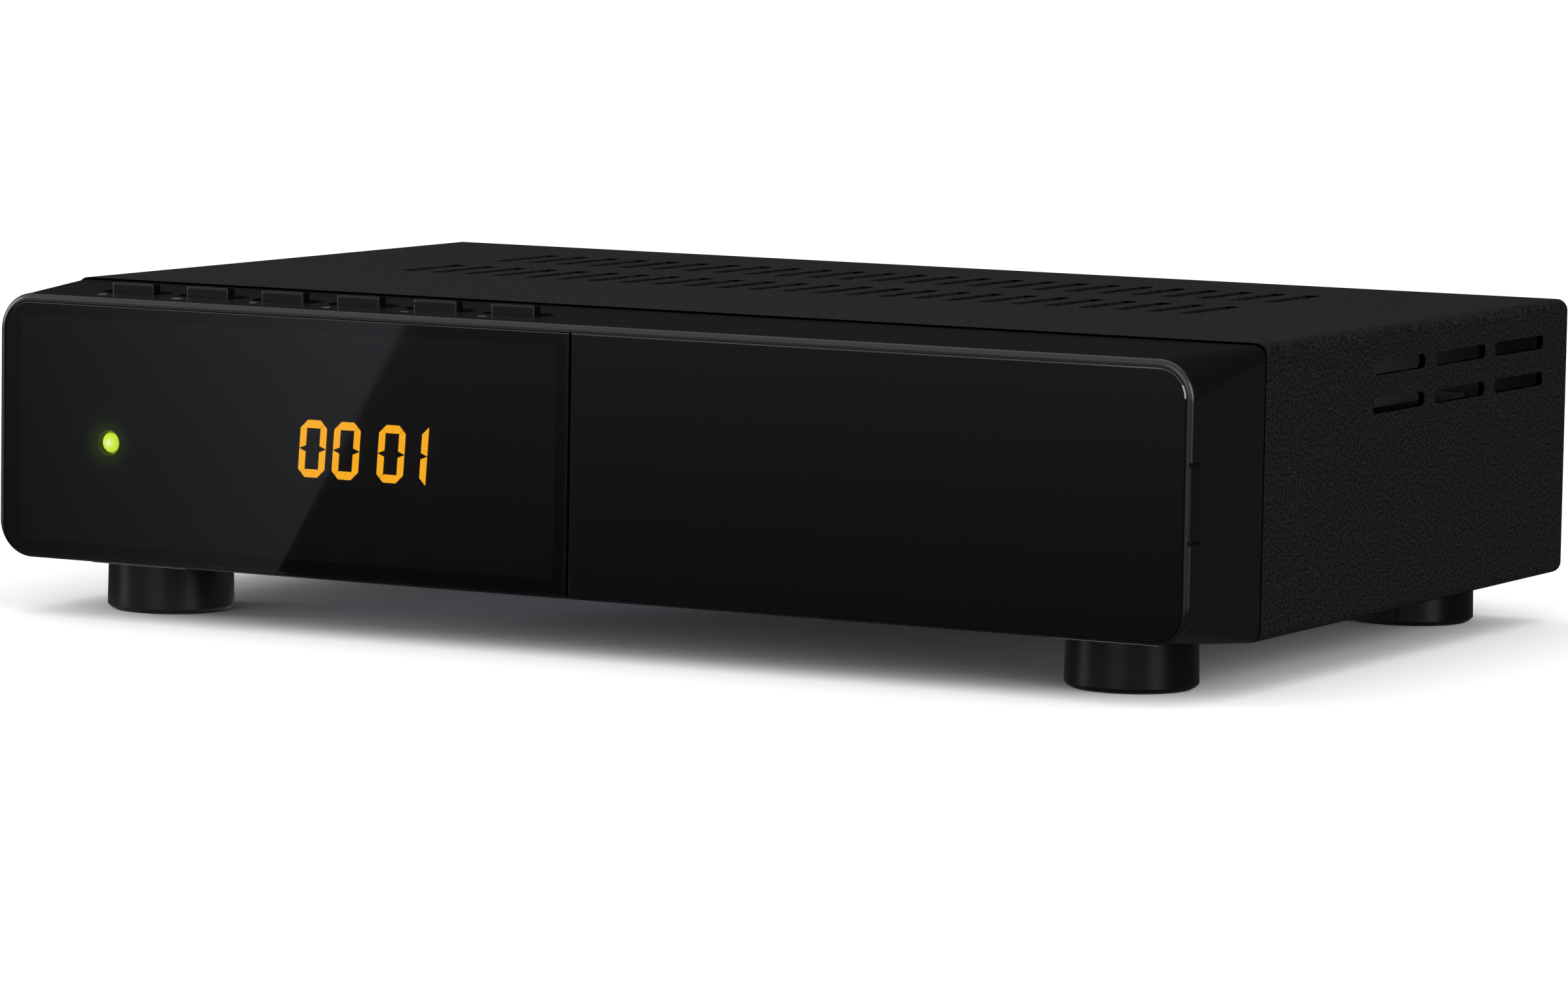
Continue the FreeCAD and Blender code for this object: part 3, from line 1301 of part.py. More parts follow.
def usb_socket():
    x = ("usb_place_x - usb_width / 2", "usb_place_x + usb_width / 2")
    top = "board_top + usb_height"
    shell = block("usb_outside", x, ("fascia_front", "usb_back"), ("board_top", top))
    room = block("usb_inside", (f"{x[0]} + usb_shell", f"{x[1]} - usb_shell"),
                 ("fascia_front - spare", "usb_back - usb_shell"),
                 ("board_top + usb_shell", f"{top} - usb_shell"))
    piece("usb_shell", cut("usb_hollow", shell, room))
    piece("usb_tongue", block("usb_tongue_block", (f"{x[0]} + 3 * usb_shell", f"{x[1]} - 3 * usb_shell"),
                              ("fascia_front + usb_tongue_drop", "usb_back - usb_shell"),
                              (f"{top} - 2 * usb_shell - usb_tongue", f"{top} - 2 * usb_shell")))


# Writing


def write_parts():
    """Checks every object and writes each sub-part to its own STEP file."""
    doc.recompute()
    for feature in doc.Objects:
        if {"Invalid", "Error"} & set(feature.State):
            raise RuntimeError(f"{feature.Name} failed: {feature.State}")
    os.makedirs("parts", exist_ok=True)
    for whole in pieces:
        shape = whole.Shape
        if shape.isNull() or not shape.isValid() or not shape.Solids:
            raise RuntimeError(f"{whole.Label} has no sound solid")
        shape.exportStep(f"parts/{whole.Label}.step")
        box = shape.BoundBox
        print(f"{whole.Label}: {len(shape.Solids)} solids, {shape.Volume:.1f} mm3, "
              f"{box.XLength:.1f} x {box.YLength:.1f} x {box.ZLength:.1f}")


fill_sheets()
front_bezel()
display_window()
window_tape()
flap_door()
hinge_pins()
keys()
key_switches()
front_board()
display_module()
standby_led()
infrared_sensor()
top_cover()
base_tray()
feet()
main_board()
board_parts()
cable()
aerial_input()
audio_output()
hdmi_output()
scart_output()
dc_input()
usb_socket()
write_parts()
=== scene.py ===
"""The looks of a low satellite receiver: finishes, lit display, printed key icons and a small studio.

Lengths are in metres, in the part's own frame: +X to the right, -Y to the front, +Z up, the floor at z = 0.
Sizes of the case's details are in its own millimetres, and at() turns these into the part's frame.
"""

import json
import math

import bpy
from mathutils import Matrix, Vector


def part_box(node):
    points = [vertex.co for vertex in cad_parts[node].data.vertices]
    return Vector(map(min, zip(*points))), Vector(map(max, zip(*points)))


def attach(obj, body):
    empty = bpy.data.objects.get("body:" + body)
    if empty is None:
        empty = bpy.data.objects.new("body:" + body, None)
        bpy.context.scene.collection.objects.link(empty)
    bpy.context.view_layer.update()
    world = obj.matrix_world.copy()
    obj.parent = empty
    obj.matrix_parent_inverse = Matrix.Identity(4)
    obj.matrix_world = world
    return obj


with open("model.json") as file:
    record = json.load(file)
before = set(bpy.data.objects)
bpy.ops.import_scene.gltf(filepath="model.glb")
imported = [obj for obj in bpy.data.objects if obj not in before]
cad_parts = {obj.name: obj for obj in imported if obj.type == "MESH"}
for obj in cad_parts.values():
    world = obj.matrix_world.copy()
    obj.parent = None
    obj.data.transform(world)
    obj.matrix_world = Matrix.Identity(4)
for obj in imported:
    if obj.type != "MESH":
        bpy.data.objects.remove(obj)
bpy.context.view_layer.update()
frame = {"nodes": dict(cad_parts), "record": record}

MM = 0.001
HOUSING = "housing"
ORIGIN = (0, 0, 0)

# From the case's own millimetres to the part's frame

MIDDLE_Y = 42.8          # from the case's front edge back to the middle of the whole receiver
FLOOR_DROP = 6.1         # from the case's underside down to the floor

# Finishes

GRAIN_ROUGHNESS = 0.6    # how strong the finer levels of a grain are
GRAIN_DETAIL = 3.0       # how many finer levels it has
COAT_SHINE = 0.28        # reflection of the coat on sheet faces; cut edges, slot ends and the lip get none, as part of their painted shade
COAT_DARK, COAT_LIGHT = 0.4, 0.6     # grain values between which the coat runs from dark to light
LIP_BAND = 1.0           # this near the case's rear, a face that looks back is the lip and no slot's end
TOP_BAND = 3.0           # this near the case's top, a face that looks up is the coated top
END_TURN = 0.3           # a normal with more Y than this belongs to the end of a slot or of the sheet, which gets painted shade
SIDE_TURN = 0.5          # below TOP_BAND, a normal with less X than this counts as cut and gets painted shade, also on the lip
COPPER_PITCH = 3.0       # across one patch of copper on a board
COPPER_EDGE = 0.42       # distance value from which the lacquer lies over copper
WAVE_UNIT = 0.314        # wave texture scale at which the ridges are one unit apart
RIDGE_PITCH = 1.0
RIDGE_HEIGHT = 0.03
WINDOW_TINT = 0.03       # share of light that passes the smoked window
WINDOW_BLUE = 1.02       # how much more blue than red it lets through

# The standby lamp's light: shares of its reach, and the colour there

LAMP_REACH = 1.3         # from the lamp's axis to where its light ends
LAMP_STOPS = ((0.0, "#f2f9b8"), (0.55, "#d6ee50"), (0.9, "#c3e61e"), (1.0, "#5f7a00"))
PAINTED_HALO_REACH = 6.0         # the same for the painted halo, the lamp's glow painted into the window
PAINTED_HALO_STOPS = ((0.0, "#6d8a10"), (0.3, "#3d5208"), (0.6, "#12180a"), (1.0, "#000000"))
PAINTED_HALO_DEPTH = 1.2         # behind the window's front, where the painted halo starts

# Lit digits

DIGIT_COLOUR = "#fbb01c"
DIGIT_WIDTH = 3.78
DIGIT_HEIGHT = 7.15
DIGIT_BOTTOM = 13.77
DIGIT_SLANT = 0.066      # sideways lean for each unit of height
DIGIT_CORNER = 1.0
DIGIT_DEPTH = 0.1
BAR_WIDTH = 0.88
BAR_HEIGHT = 1.0
BAR_GAP = 0.08
BAR_POINT = 0.35         # how far a bar's inner corner stands back at the digit's middle
ZERO_LEFTS = (-39.4, -34.51, -28.02)
ONE_LEFT = -21.84

# Key icons

ICON_SIZE = 1.15
ICON_LINE = 0.2
ICON_INK = 0.03          # thickness of the ink
ICON_Y = -15.0
ICON_SHIFT = 2.6         # from a key's middle to its icon
ICON_DROP = 5.0          # above the key, where the ray that finds the bezel starts
RING_SIDES = 48
MENU_STEP = 0.38         # between two bars of the menu icon, as a share of its size
ARROW_HEIGHT = 0.86      # as a share of its width
ARROW_SLOPE = 0.58       # upward part of the normal of its slanting sides

# Studio, in metres

SOFT_LIGHT = 1.05        # strength of the surround as soft light on matt surfaces
FLOOR_SIZE = 12.0
CARD_COLOUR = (0.95, 1.0, 1.1, 1)
FLOOR_CARD_SIZE = (6.0, 6.0)
CARD_LIFT = 0.2 * MM
FAR_Y, NEAR_Y = -0.8, -0.05
FAR_LIGHT, NEAR_LIGHT = 0.3, 0.045
PATCH_EDGE = ((-0.0798, -0.1225), (-0.2916, -0.5035))    # two points on the brighter patch's edge
PATCH_WAY = (-0.837, 0.547, 0)       # the way along which the patch fades
PATCH_FROM, PATCH_TO = -0.032, 0.0516
PATCH_LIGHT = 0.378      # at PATCH_FROM, falling to nothing at PATCH_TO
PATCH_MOST = 0.6         # the patch's light goes no higher beyond PATCH_FROM
UPRIGHT = math.pi / 2
SCREENS = (              # name, middle, width and height, light, turn
    ("back_screen", (0, 1.2, 1.2), (4.4, 2.4), 0.02, (UPRIGHT, 0, 0)),
    ("side_screen", (1.3, 0.65, 0.8), (1.7, 1.6), 0.02, (UPRIGHT, 0, UPRIGHT)),
)
SOFTBOXES = (            # name, place, width and height, watts
    ("top_softbox", (0.0, 0.2, 1.6), (1.4, 1.0), 3),
    ("front_softbox", (0.05, -1.2, 0.35), (0.6, 0.7), 2.5),
    ("left_softbox", (-1.2, -0.65, 0.35), (0.4, 0.7), 9),
    ("right_softbox", (1.2, -0.5, 0.4), (0.5, 0.7), 8),
)
CAMERA_PLACE = (0.42656, -0.8022, 0.10586)
CAMERA_YAW = -0.4916
CAMERA_PITCH = 0.0993
CAMERA_ROLL = 0.0167
CAMERA_LENS = 162.46
CAMERA_NEAR = 0.01
SENSOR_WIDTH = 36.0


def at(x, y, z):
    """A point of the case's own millimetres in the part's frame."""
    return Vector((x, y - MIDDLE_Y, z + FLOOR_DROP)) * MM


# Nodes


def linear(hex_colour):
    """A colour written as in a paint program, turned to the linear values that the shaders use."""
    values = [int(hex_colour[i:i + 2], 16) / 255 for i in (1, 3, 5)]
    return tuple(v / 12.92 if v <= 0.04045 else ((v + 0.055) / 1.055) ** 2.4 for v in values) + (1.0,)


def add(tree, kind, settings=None, **inputs):
    """Adds a node and sets its inputs, each to a value or to another node's socket.

    An input is named as its socket, with _ for a space, or by its number as i0, i1 and so on.
    """
    node = tree.nodes.new("ShaderNode" + kind)
    for name, value in (settings or {}).items():
        setattr(node, name, value)
    for name, value in inputs.items():
        numbered = name[0] == "i" and name[1:].isdigit()
        socket = node.inputs[int(name[1:]) if numbered else name.replace("_", " ")]
        if isinstance(value, bpy.types.NodeSocket):
            tree.links.new(value, socket)
        else:
            socket.default_value = value
    return node


def calc(tree, operation, *values, clamp=False):
    """A sum on one or two values. Returns its result."""
    inputs = {f"i{index}": value for index, value in enumerate(values)}
    return add(tree, "Math", {"operation": operation, "use_clamp": clamp}, **inputs).outputs["Value"]


def vector_calc(tree, operation, result, *values):
    """A sum on one or two vectors. Returns the named result."""
    inputs = {f"i{index}": value for index, value in enumerate(values)}
    return add(tree, "VectorMath", {"operation": operation}, **inputs).outputs[result]


def shader_of(material):
    return material.node_tree.nodes["Principled BSDF"]


def place_of(material):
    """The place in the part of the point that is shaded."""
    return material.node_tree.nodes["Texture Coordinate"].outputs["Object"]


def surface(name, colour, roughness, **more):
    """A material whose one shader has these constants on its own sockets."""
    material = bpy.data.materials.new(name)
    material.use_nodes = True
    shader = shader_of(material)
    shader.inputs["Base Color"].default_value = linear(colour)
    shader.inputs["Roughness"].default_value = roughness
    for socket, value in more.items():
        shader.inputs[socket.replace("_", " ")].default_value = value
    add(material.node_tree, "TexCoord")
    return material


def grain(material, across, deep, detail=GRAIN_DETAIL):
    """A fine random relief, in millimetres across one grain and in height. Returns its pattern."""
    tree = material.node_tree
    noise = add(tree, "TexNoise", Vector=place_of(material), Scale=1 / (across * MM), Detail=detail,
                Roughness=GRAIN_ROUGHNESS)
    raised(material, noise, deep)
    return noise.outputs["Fac"]


def raised(material, pattern, deep):
    """Lets a pattern stand out of the surface, deep in millimetres."""
    tree = material.node_tree
    bump = add(tree, "Bump", Strength=1.0, Distance=deep * MM, Height=pattern.outputs["Fac"])
    tree.links.new(bump.outputs["Normal"], shader_of(material).inputs["Normal"])


def tinted(material, factor, dark, light):
    """Makes the base colour run between two near shades with a pattern."""
    tree = material.node_tree
    mix = add(tree, "Mix", {"data_type": "RGBA"}, i0=factor, i6=linear(dark), i7=linear(light))
    tree.links.new(mix.outputs[2], shader_of(material).inputs["Base Color"])


def grained(name, colour, roughness, across, deep, shades=None, detail=GRAIN_DETAIL, **more):
    """A surface with a grain, and with a dark and a light shade of its colour in the same pattern."""
    material = surface(name, colour, roughness, **more)
    pattern = grain(material, across, deep, detail)
    if shades:
        tinted(material, pattern, *shades)
    return material


# Pieces


def deselect():
    bpy.ops.object.select_all(action="DESELECT")


def block(name, low, high):
    """A block between two corners, still to be shaped."""
    deselect()
    bpy.ops.mesh.primitive_cube_add(size=1, location=[(a + b) / 2 for a, b in zip(low, high)])
    piece = bpy.context.object
    piece.name = name
    piece.scale = [b - a for a, b in zip(low, high)]
    bpy.ops.object.transform_apply(location=True, rotation=True, scale=True)
    return piece


def trim(piece, point, outward):
    """Cuts off what lies beyond a plane and closes the cut."""
    bpy.context.view_layer.objects.active = piece
    bpy.ops.object.mode_set(mode="EDIT")
    bpy.ops.mesh.select_all(action="SELECT")
    bpy.ops.mesh.bisect(plane_co=point, plane_no=outward, use_fill=True, clear_outer=True)
    bpy.ops.object.mode_set(mode="OBJECT")


def joined(name, pieces):
    """The first piece with the others joined to it."""
    deselect()
    for piece in pieces:
        piece.select_set(True)
    bpy.context.view_layer.objects.active = pieces[0]
    if len(pieces) > 1:
        bpy.ops.object.join()
    pieces[0].name = name
    return pieces[0]


def copied(piece, name):
    """A copy with its own mesh, in the same place."""
    twin = piece.copy()
    twin.data = piece.data.copy()
    twin.name = name
    bpy.context.collection.objects.link(twin)
    return twin


def finish_piece(piece, material, body):
    """Gives a new piece its finish and the body that it rides on."""
    piece.data.materials.clear()
    piece.data.materials.append(material)
    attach(piece, body)


# Finishes


def moulded_abs():
    """Black ABS from a spark-eroded mould: a fine even grain breaks the shine up."""
    return grained("moulded_abs", "#08090b", roughness=0.28, across=0.28, deep=0.004,
                   shades=("#040506", "#090a0c"), IOR=1.53, Specular_IOR_Level=0.42)


def smoked_acrylic():
    """Smoke-grey polished acrylic: dark from outside, and what is lit behind it shines through;
    dress_nodes() paints a halo of the standby lamp's glow into it.
    """
    material = surface("smoked_acrylic", "#000000", roughness=0.03, IOR=1.49, Transmission_Weight=1.0)
    tint = (WINDOW_TINT, WINDOW_TINT, WINDOW_TINT * WINDOW_BLUE, 1)
    shader_of(material).inputs["Base Color"].default_value = tint
    return material


def polished_abs():
    """Black ABS from a polished mould: mirror-smooth, with the faint long waves of a moulding."""
    return grained("polished_abs", "#030304", roughness=0.06, across=9, deep=0.01, detail=1.0, IOR=1.53)


def powder_coat():
    """Black powder coat baked on sheet steel: a grey sparkle on its faces, and painted shade that makes cut
    edges, slot ends, the lip and other faces below the top that don't look sideways nearly black and
    without reflection.
    """
    material = surface("powder_coat", "#0e0f10", roughness=0.5, IOR=1.5, Specular_IOR_Level=COAT_SHINE)
    pattern = grain(material, across=0.35, deep=0.06, detail=1.0)
    tree = material.node_tree
    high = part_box("top_cover")[1]
    normal = add(tree, "SeparateXYZ", Vector=add(tree, "NewGeometry").outputs["True Normal"])
    turn = {axis: calc(tree, "ABSOLUTE", normal.outputs[axis]) for axis in "XY"}
    place = add(tree, "SeparateXYZ", Vector=place_of(material))
    before_lip = calc(tree, "LESS_THAN", place.outputs["Y"], high.y - LIP_BAND * MM)
    shaded_ends = calc(tree, "MULTIPLY", before_lip, calc(tree, "GREATER_THAN", turn["Y"], END_TURN))
    below_top = calc(tree, "LESS_THAN", place.outputs["Z"], high.z - TOP_BAND * MM)
    shaded_sides = calc(tree, "MULTIPLY", below_top, calc(tree, "LESS_THAN", turn["X"], SIDE_TURN))
    # cut is the painted shade: on these faces the colour drops to the darkest shade and the coat loses its
    # reflection
    cut = calc(tree, "MAXIMUM", shaded_ends, shaded_sides)
    sparkle = add(tree, "MapRange", Value=pattern, From_Min=COAT_DARK, From_Max=COAT_LIGHT)
    face = calc(tree, "SUBTRACT", sparkle.outputs["Result"], cut, clamp=True)
    tinted(material, face, "#010101", "#191b1b")
    gloss = add(tree, "MapRange", Value=cut, To_Min=COAT_SHINE, To_Max=0.0)
    tree.links.new(gloss.outputs["Result"], shader_of(material).inputs["Specular IOR Level"])
    return material


def zinc_plate():
    """Zinc-plated rolled steel: grey metal with a faint mottle from the bath."""
    return grained("zinc_plate", "#9a9c9e", roughness=0.38, across=4, deep=0.004,
                   shades=("#8c8e91", "#a9abac"), detail=5.0, Metallic=1.0)


def tin_plate():
    """Tin-plated screening can: brighter than zinc, with a faint cloudiness."""
    return grained("tin_plate", "#b9bab8", roughness=0.27, across=3, deep=0.003,
                   shades=("#adaeac", "#c4c5c3"), detail=4.0, Metallic=1.0)


def nickel_plate():
    """Nickel-plated brass: warm white metal with a fine unevenness that softens its shine."""
    return grained("nickel_plate", "#c3bfb6", roughness=0.2, across=0.25, deep=0.004, Metallic=1.0)


def bright_brass():
    """Bare spring brass: clean yellow metal."""
    return grained("bright_brass", "#cfa64f", roughness=0.25, across=0.25, deep=0.004, Metallic=1.0)


def bright_steel():
    """Ground steel pin: clean grey metal with a fine texture."""
    return grained("bright_steel", "#a7a7a8", roughness=0.28, across=0.2, deep=0.004, Metallic=1.0)


def black_zinc():
    """Black-passivated zinc on a steel screw: dark metal that still glints on its edges."""
    return grained("black_zinc", "#2c2c2e", roughness=0.38, across=0.4, deep=0.01,
                   shades=("#222224", "#38383b"), Metallic=1.0)


def extruded_aluminium():
    """Extruded aluminium, sawn and left bare: pale metal with a soft shine."""
    return grained("extruded_aluminium", "#b5b7ba", roughness=0.36, across=0.4, deep=0.01, Metallic=1.0)


def foot_rubber():
    """Moulded black rubber: dark and even, with a satin shine that shows upright bands of light."""
    return grained("moulded_rubber", "#070707", roughness=0.22, across=0.5, deep=0.006,
                   shades=("#050506", "#0a0a0b"), IOR=1.52, Specular_IOR_Level=0.35)


def foam_rubber():
    """Soft cellular rubber: matt black with open pores."""
    return grained("cellular_rubber", "#151515", roughness=0.85, across=0.5, deep=0.08, IOR=1.5)


def adhesive_tape():
    """Black film tape: dull, with a faint crepe."""
    return grained("film_tape", "#121212", roughness=0.6, across=0.6, deep=0.02, IOR=1.5)


def solder_mask():
    """Green solder mask on a glass-fibre board: glossy lacquer, lighter where copper lies under it."""
    material = surface("solder_mask", "#0f5a33", roughness=0.28, IOR=1.5)
    tree = material.node_tree
    patches = add(tree, "TexVoronoi", {"feature": "F1", "distance": "MANHATTAN"},
                  Vector=place_of(material), Scale=1 / (COPPER_PITCH * MM))
    copper = calc(tree, "GREATER_THAN", patches.outputs["Distance"], COPPER_EDGE)
    tinted(material, copper, "#0d4f2d", "#1a7a48")
    return material


def chip_compound():
    """Black epoxy moulding compound: matt, faintly speckled."""
    return grained("epoxy_compound", "#19191a", roughness=0.62, across=0.25, deep=0.012,
                   shades=("#151516", "#222223"), IOR=1.55)


def sleeved_can():
    """Aluminium can in a shrunk black sleeve: smooth dark plastic with a bluish tone."""
    return grained("shrunk_sleeve", "#1e2227", roughness=0.32, across=1.2, deep=0.01, IOR=1.5)


def natural_nylon():
    """Undyed nylon moulding: milky white with a soft inner glow."""
    return grained("natural_nylon", "#dcd9cd", roughness=0.45, across=0.5, deep=0.008, IOR=1.53,
                   Subsurface_Weight=0.15, Subsurface_Scale=0.8 * MM)


def flat_film():
    """Flat cable of conductors between white polyester films: satin, with the conductors as fine ridges."""
    material = surface("polyester_film", "#dfe0de", roughness=0.35, IOR=1.57)
    ridges = add(material.node_tree, "TexWave", {"bands_direction": "X"},
                 Vector=place_of(material), Scale=WAVE_UNIT / (RIDGE_PITCH * MM))
    raised(material, ridges, RIDGE_HEIGHT)
    return material


def socket_black():
    """Glass-filled black nylon: dull black with a dry, fibrous skin."""
    return grained("filled_nylon", "#161617", roughness=0.58, across=0.35, deep=0.015,
                   shades=("#121213", "#1d1d1e"), IOR=1.53)


def orange_abs():
    """Orange ABS insert: a clean moulded colour."""
    return grained("orange_abs", "#d0700f", roughness=0.4, across=0.4, deep=0.008, IOR=1.53)


def switch_nylon():
    """Black acetal plungers and switch bodies: slippery, with a low shine."""
    return grained("acetal", "#171718", roughness=0.45, across=0.4, deep=0.008, IOR=1.48)


def key_abs():
    """Black ABS keys, satin from the mould and smoother than the bezel: their edges catch the light."""
    return grained("satin_abs", "#050606", roughness=0.22, across=0.25, deep=0.006, IOR=1.53,
                   Specular_IOR_Level=0.2)


def display_face():
    """Dark face of the digit module: nearly black printed plastic."""
    return grained("printed_face", "#0c0b0b", roughness=0.6, across=0.3, deep=0.01, IOR=1.5)


def lamp_epoxy():
    """Lit green-yellow epoxy lamp: glow() makes it whitish in the middle and greener at its rim."""
    return surface("lamp_epoxy", "#9fb83a", roughness=0.25, IOR=1.55)


def sensor_filter():
    """Dark red filter plastic over the remote control's eye."""
    return grained("filter_plastic", "#1a0707", roughness=0.12, across=2, deep=0.004, IOR=1.5)


def lit_segment():
    """Orange digit bars, lit evenly from behind and bright enough to pass the smoked window."""
    material = surface("lit_segment", DIGIT_COLOUR, roughness=0.5, IOR=1.5)
    shader_of(material).inputs["Emission Color"].default_value = linear(DIGIT_COLOUR)
    shader_of(material).inputs["Emission Strength"].default_value = 1 / WINDOW_TINT
    return material


def key_ink():
    """Grey pad-printed ink: matt, a little uneven where it is thin."""
    return grained("pad_print_ink", "#4e5051", roughness=0.6, across=0.2, deep=0.004,
                   shades=("#404243", "#5c5e5f"), IOR=1.5)


def glow(material, reach, stops, strength, from_y=None):
    """Emission that fades with the distance from the standby lamp's axis and starts behind from_y."""
    tree = material.node_tree
    low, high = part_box("standby_led")
    middle = (low + high) / 2
    away = vector_calc(tree, "SUBTRACT", "Vector", place_of(material), (middle.x, 0, middle.z))
    upright = vector_calc(tree, "MULTIPLY", "Vector", away, (1, 0, 1))
    far = vector_calc(tree, "LENGTH", "Value", upright)
    share = add(tree, "MapRange", Value=far, From_Max=reach * MM)
    ramp = add(tree, "ValToRGB", Fac=share.outputs["Result"])
    ramp.color_ramp.interpolation = "EASE"
    elements = ramp.color_ramp.elements
    halfway = 0.5
    while len(elements) < len(stops):
        elements.new(halfway)
    for element, (position, colour) in zip(elements, stops):
        element.position = position
        element.color = linear(colour)
    colour = ramp.outputs["Color"]
    if from_y is not None:
        depth = add(tree, "SeparateXYZ", Vector=place_of(material))
        behind = calc(tree, "GREATER_THAN", depth.outputs["Y"], from_y)
        mix = add(tree, "Mix", {"data_type": "RGBA"}, i0=behind, i6=(0, 0, 0, 1), i7=colour)
        colour = mix.outputs[2]
    tree.links.new(colour, shader_of(material).inputs["Emission Color"])
    shader_of(material).inputs["Emission Strength"].default_value = strength


FINISHES = {
    "bezel_plastic": moulded_abs, "smoked_window": smoked_acrylic, "tape": adhesive_tape,
    "flap_plastic": polished_abs, "steel_pin": bright_steel, "switch_plastic": switch_nylon,
    "circuit_board": solder_mask, "screw_steel": black_zinc, "display_face": display_face,
    "led_body": lamp_epoxy, "sensor_body": sensor_filter, "painted_steel": powder_coat,
    "zinc_steel": zinc_plate, "foot_rubber": foot_rubber, "pad_rubber": foam_rubber,
    "chip_plastic": chip_compound, "sink_aluminium": extruded_aluminium, "can_aluminium": sleeved_can,
    "socket_white": natural_nylon, "cable_white": flat_film, "tin_plate": tin_plate,
    "nickel": nickel_plate, "contact_brass": bright_brass, "socket_black": socket_black,
    "audio_plastic": orange_abs, "key_plastic": key_abs,
}


def dress_nodes():
    """Gives every carried-over node the finish of its material slot, made once for each slot."""
    made = {slot: build() for slot, build in FINISHES.items()}
    window_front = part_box("display_window")[0].y
    # painted halo: the window itself glows green around the standby lamp
    glow(made["smoked_window"], PAINTED_HALO_REACH, PAINTED_HALO_STOPS, 1.0, from_y=window_front + PAINTED_HALO_DEPTH * MM)
    glow(made["led_body"], LAMP_REACH, LAMP_STOPS, 1 / WINDOW_TINT)
    for part in frame["record"]["subparts"]:
        node = frame["nodes"][part["node"]]
        node.data.materials.clear()
        node.data.materials.append(made[part["material_slot"]])


# Lit digits


def digit_bar(name, low, high, cuts):
    """One bar of a digit, cut to its pointed outline. Cuts are ((x, z), (outward x, outward z))."""
    bar = block(name, (low[0], -DIGIT_DEPTH, low[1]), (high[0], 0, high[1]))
    for (x, z), (out_x, out_z) in cuts:
        trim(bar, (x, 0, z), (out_x, 0, out_z))
    return bar


def mirrored(bar, name, middle, axis):
    """The same bar on the other side of the digit's middle line."""
    twin = copied(bar, name)
    scale = Matrix.Scale(-1, 4, axis)
    twin.data.transform(Matrix.Translation(middle) @ scale @ Matrix.Translation(-Vector(middle)))
    twin.data.flip_normals()
    return twin


def zero():
    """Six bars round an open middle, with a fine gap at every joint."""
    inner = (BAR_WIDTH, DIGIT_HEIGHT - BAR_HEIGHT)
    gap = BAR_GAP / 2 * math.sqrt(2)
    half = DIGIT_HEIGHT / 2
    chamfer = ((0, DIGIT_HEIGHT - DIGIT_CORNER), (-1, 1))
    point = ((0, half + BAR_GAP / 2), (BAR_POINT, -BAR_WIDTH))
    top = digit_bar("top_bar", (0, inner[1]), (DIGIT_WIDTH, DIGIT_HEIGHT),
                    [chamfer, ((inner[0] + gap, inner[1]), (-1, -1)),
                     ((DIGIT_WIDTH, DIGIT_HEIGHT - DIGIT_CORNER), (1, 1)),
                     ((DIGIT_WIDTH - inner[0] - gap, inner[1]), (1, -1))])
    side = digit_bar("side_bar", (0, half), (BAR_WIDTH, DIGIT_HEIGHT),
                     [chamfer, ((inner[0] - gap, inner[1]), (1, 1)), point])
    middle = (DIGIT_WIDTH / 2, 0, half)
    bars = [top, side, mirrored(side, "right_bar", middle, (1, 0, 0))]
    bars += [mirrored(bar, f"low_{bar.name}", middle, (0, 0, 1)) for bar in bars]
    return joined("digit_zero", bars)


def one():
    """Two bars, one above the other."""
    half = DIGIT_HEIGHT / 2
    point = ((BAR_WIDTH, half + BAR_GAP / 2), (-BAR_POINT, -BAR_WIDTH))
    chamfer = ((BAR_WIDTH, DIGIT_HEIGHT), (-1, 1))
    side = digit_bar("one_bar", (0, half), (BAR_WIDTH, DIGIT_HEIGHT), [chamfer, point])
    return joined("digit_one", [side, mirrored(side, "one_low_bar", (0, 0, half), (0, 0, 1))])


def lit_digits():
    """Four digits on the module's face, leaning a little to the right."""
    material = lit_segment()
    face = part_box("display_module")[0].y
    lean = Matrix.Identity(4)
    lean[0][2] = DIGIT_SLANT
    base = zero()
    digits = [copied(base, f"display_digit_{i + 1}") for i in range(len(ZERO_LEFTS))]
    bpy.data.objects.remove(base)
    digits.append(one())
    digits[-1].name = f"display_digit_{len(digits)}"
    for digit, left in zip(digits, ZERO_LEFTS + (ONE_LEFT,)):
        corner = at(left, 0, DIGIT_BOTTOM)
        corner.y = face
        digit.data.transform(Matrix.Translation(corner) @ Matrix.Scale(MM, 4) @ lean)
        finish_piece(digit, material, HOUSING)


# Key icons, printed on the bezel in front of the keys


def ring_icon(name, radius, line):
    """A flat ring."""
    deselect()
    bpy.ops.mesh.primitive_circle_add(vertices=RING_SIDES, radius=radius, fill_type="NGON")
    ring = bpy.context.object
    bpy.ops.object.mode_set(mode="EDIT")
    bpy.ops.mesh.select_all(action="SELECT")
    bpy.ops.mesh.inset(thickness=line)
    bpy.ops.mesh.delete(type="FACE")
    bpy.ops.object.mode_set(mode="OBJECT")
    ink = ring.modifiers.new("ink", "SOLIDIFY")
    ink.thickness = ICON_INK
    ink.offset = 1
    bpy.ops.object.modifier_apply(modifier=ink.name)
    ring.name = name
    return ring


def bar_icon(name, width, height, middle=(0, 0)):
    """A flat bar."""
    x, y = middle
    return block(name, (x - width / 2, y - height / 2, 0), (x + width / 2, y + height / 2, ICON_INK))


def arrow_icon(name, up):
    """A filled triangle that points up (1) or down (-1)."""
    piece = bar_icon(name, ICON_SIZE, ICON_SIZE * ARROW_HEIGHT)
    point = (0, ICON_SIZE / 2 * ARROW_HEIGHT * up, 0)
    for side in (1, -1):
        trim(piece, point, (side, ARROW_SLOPE * up, 0))
    return piece


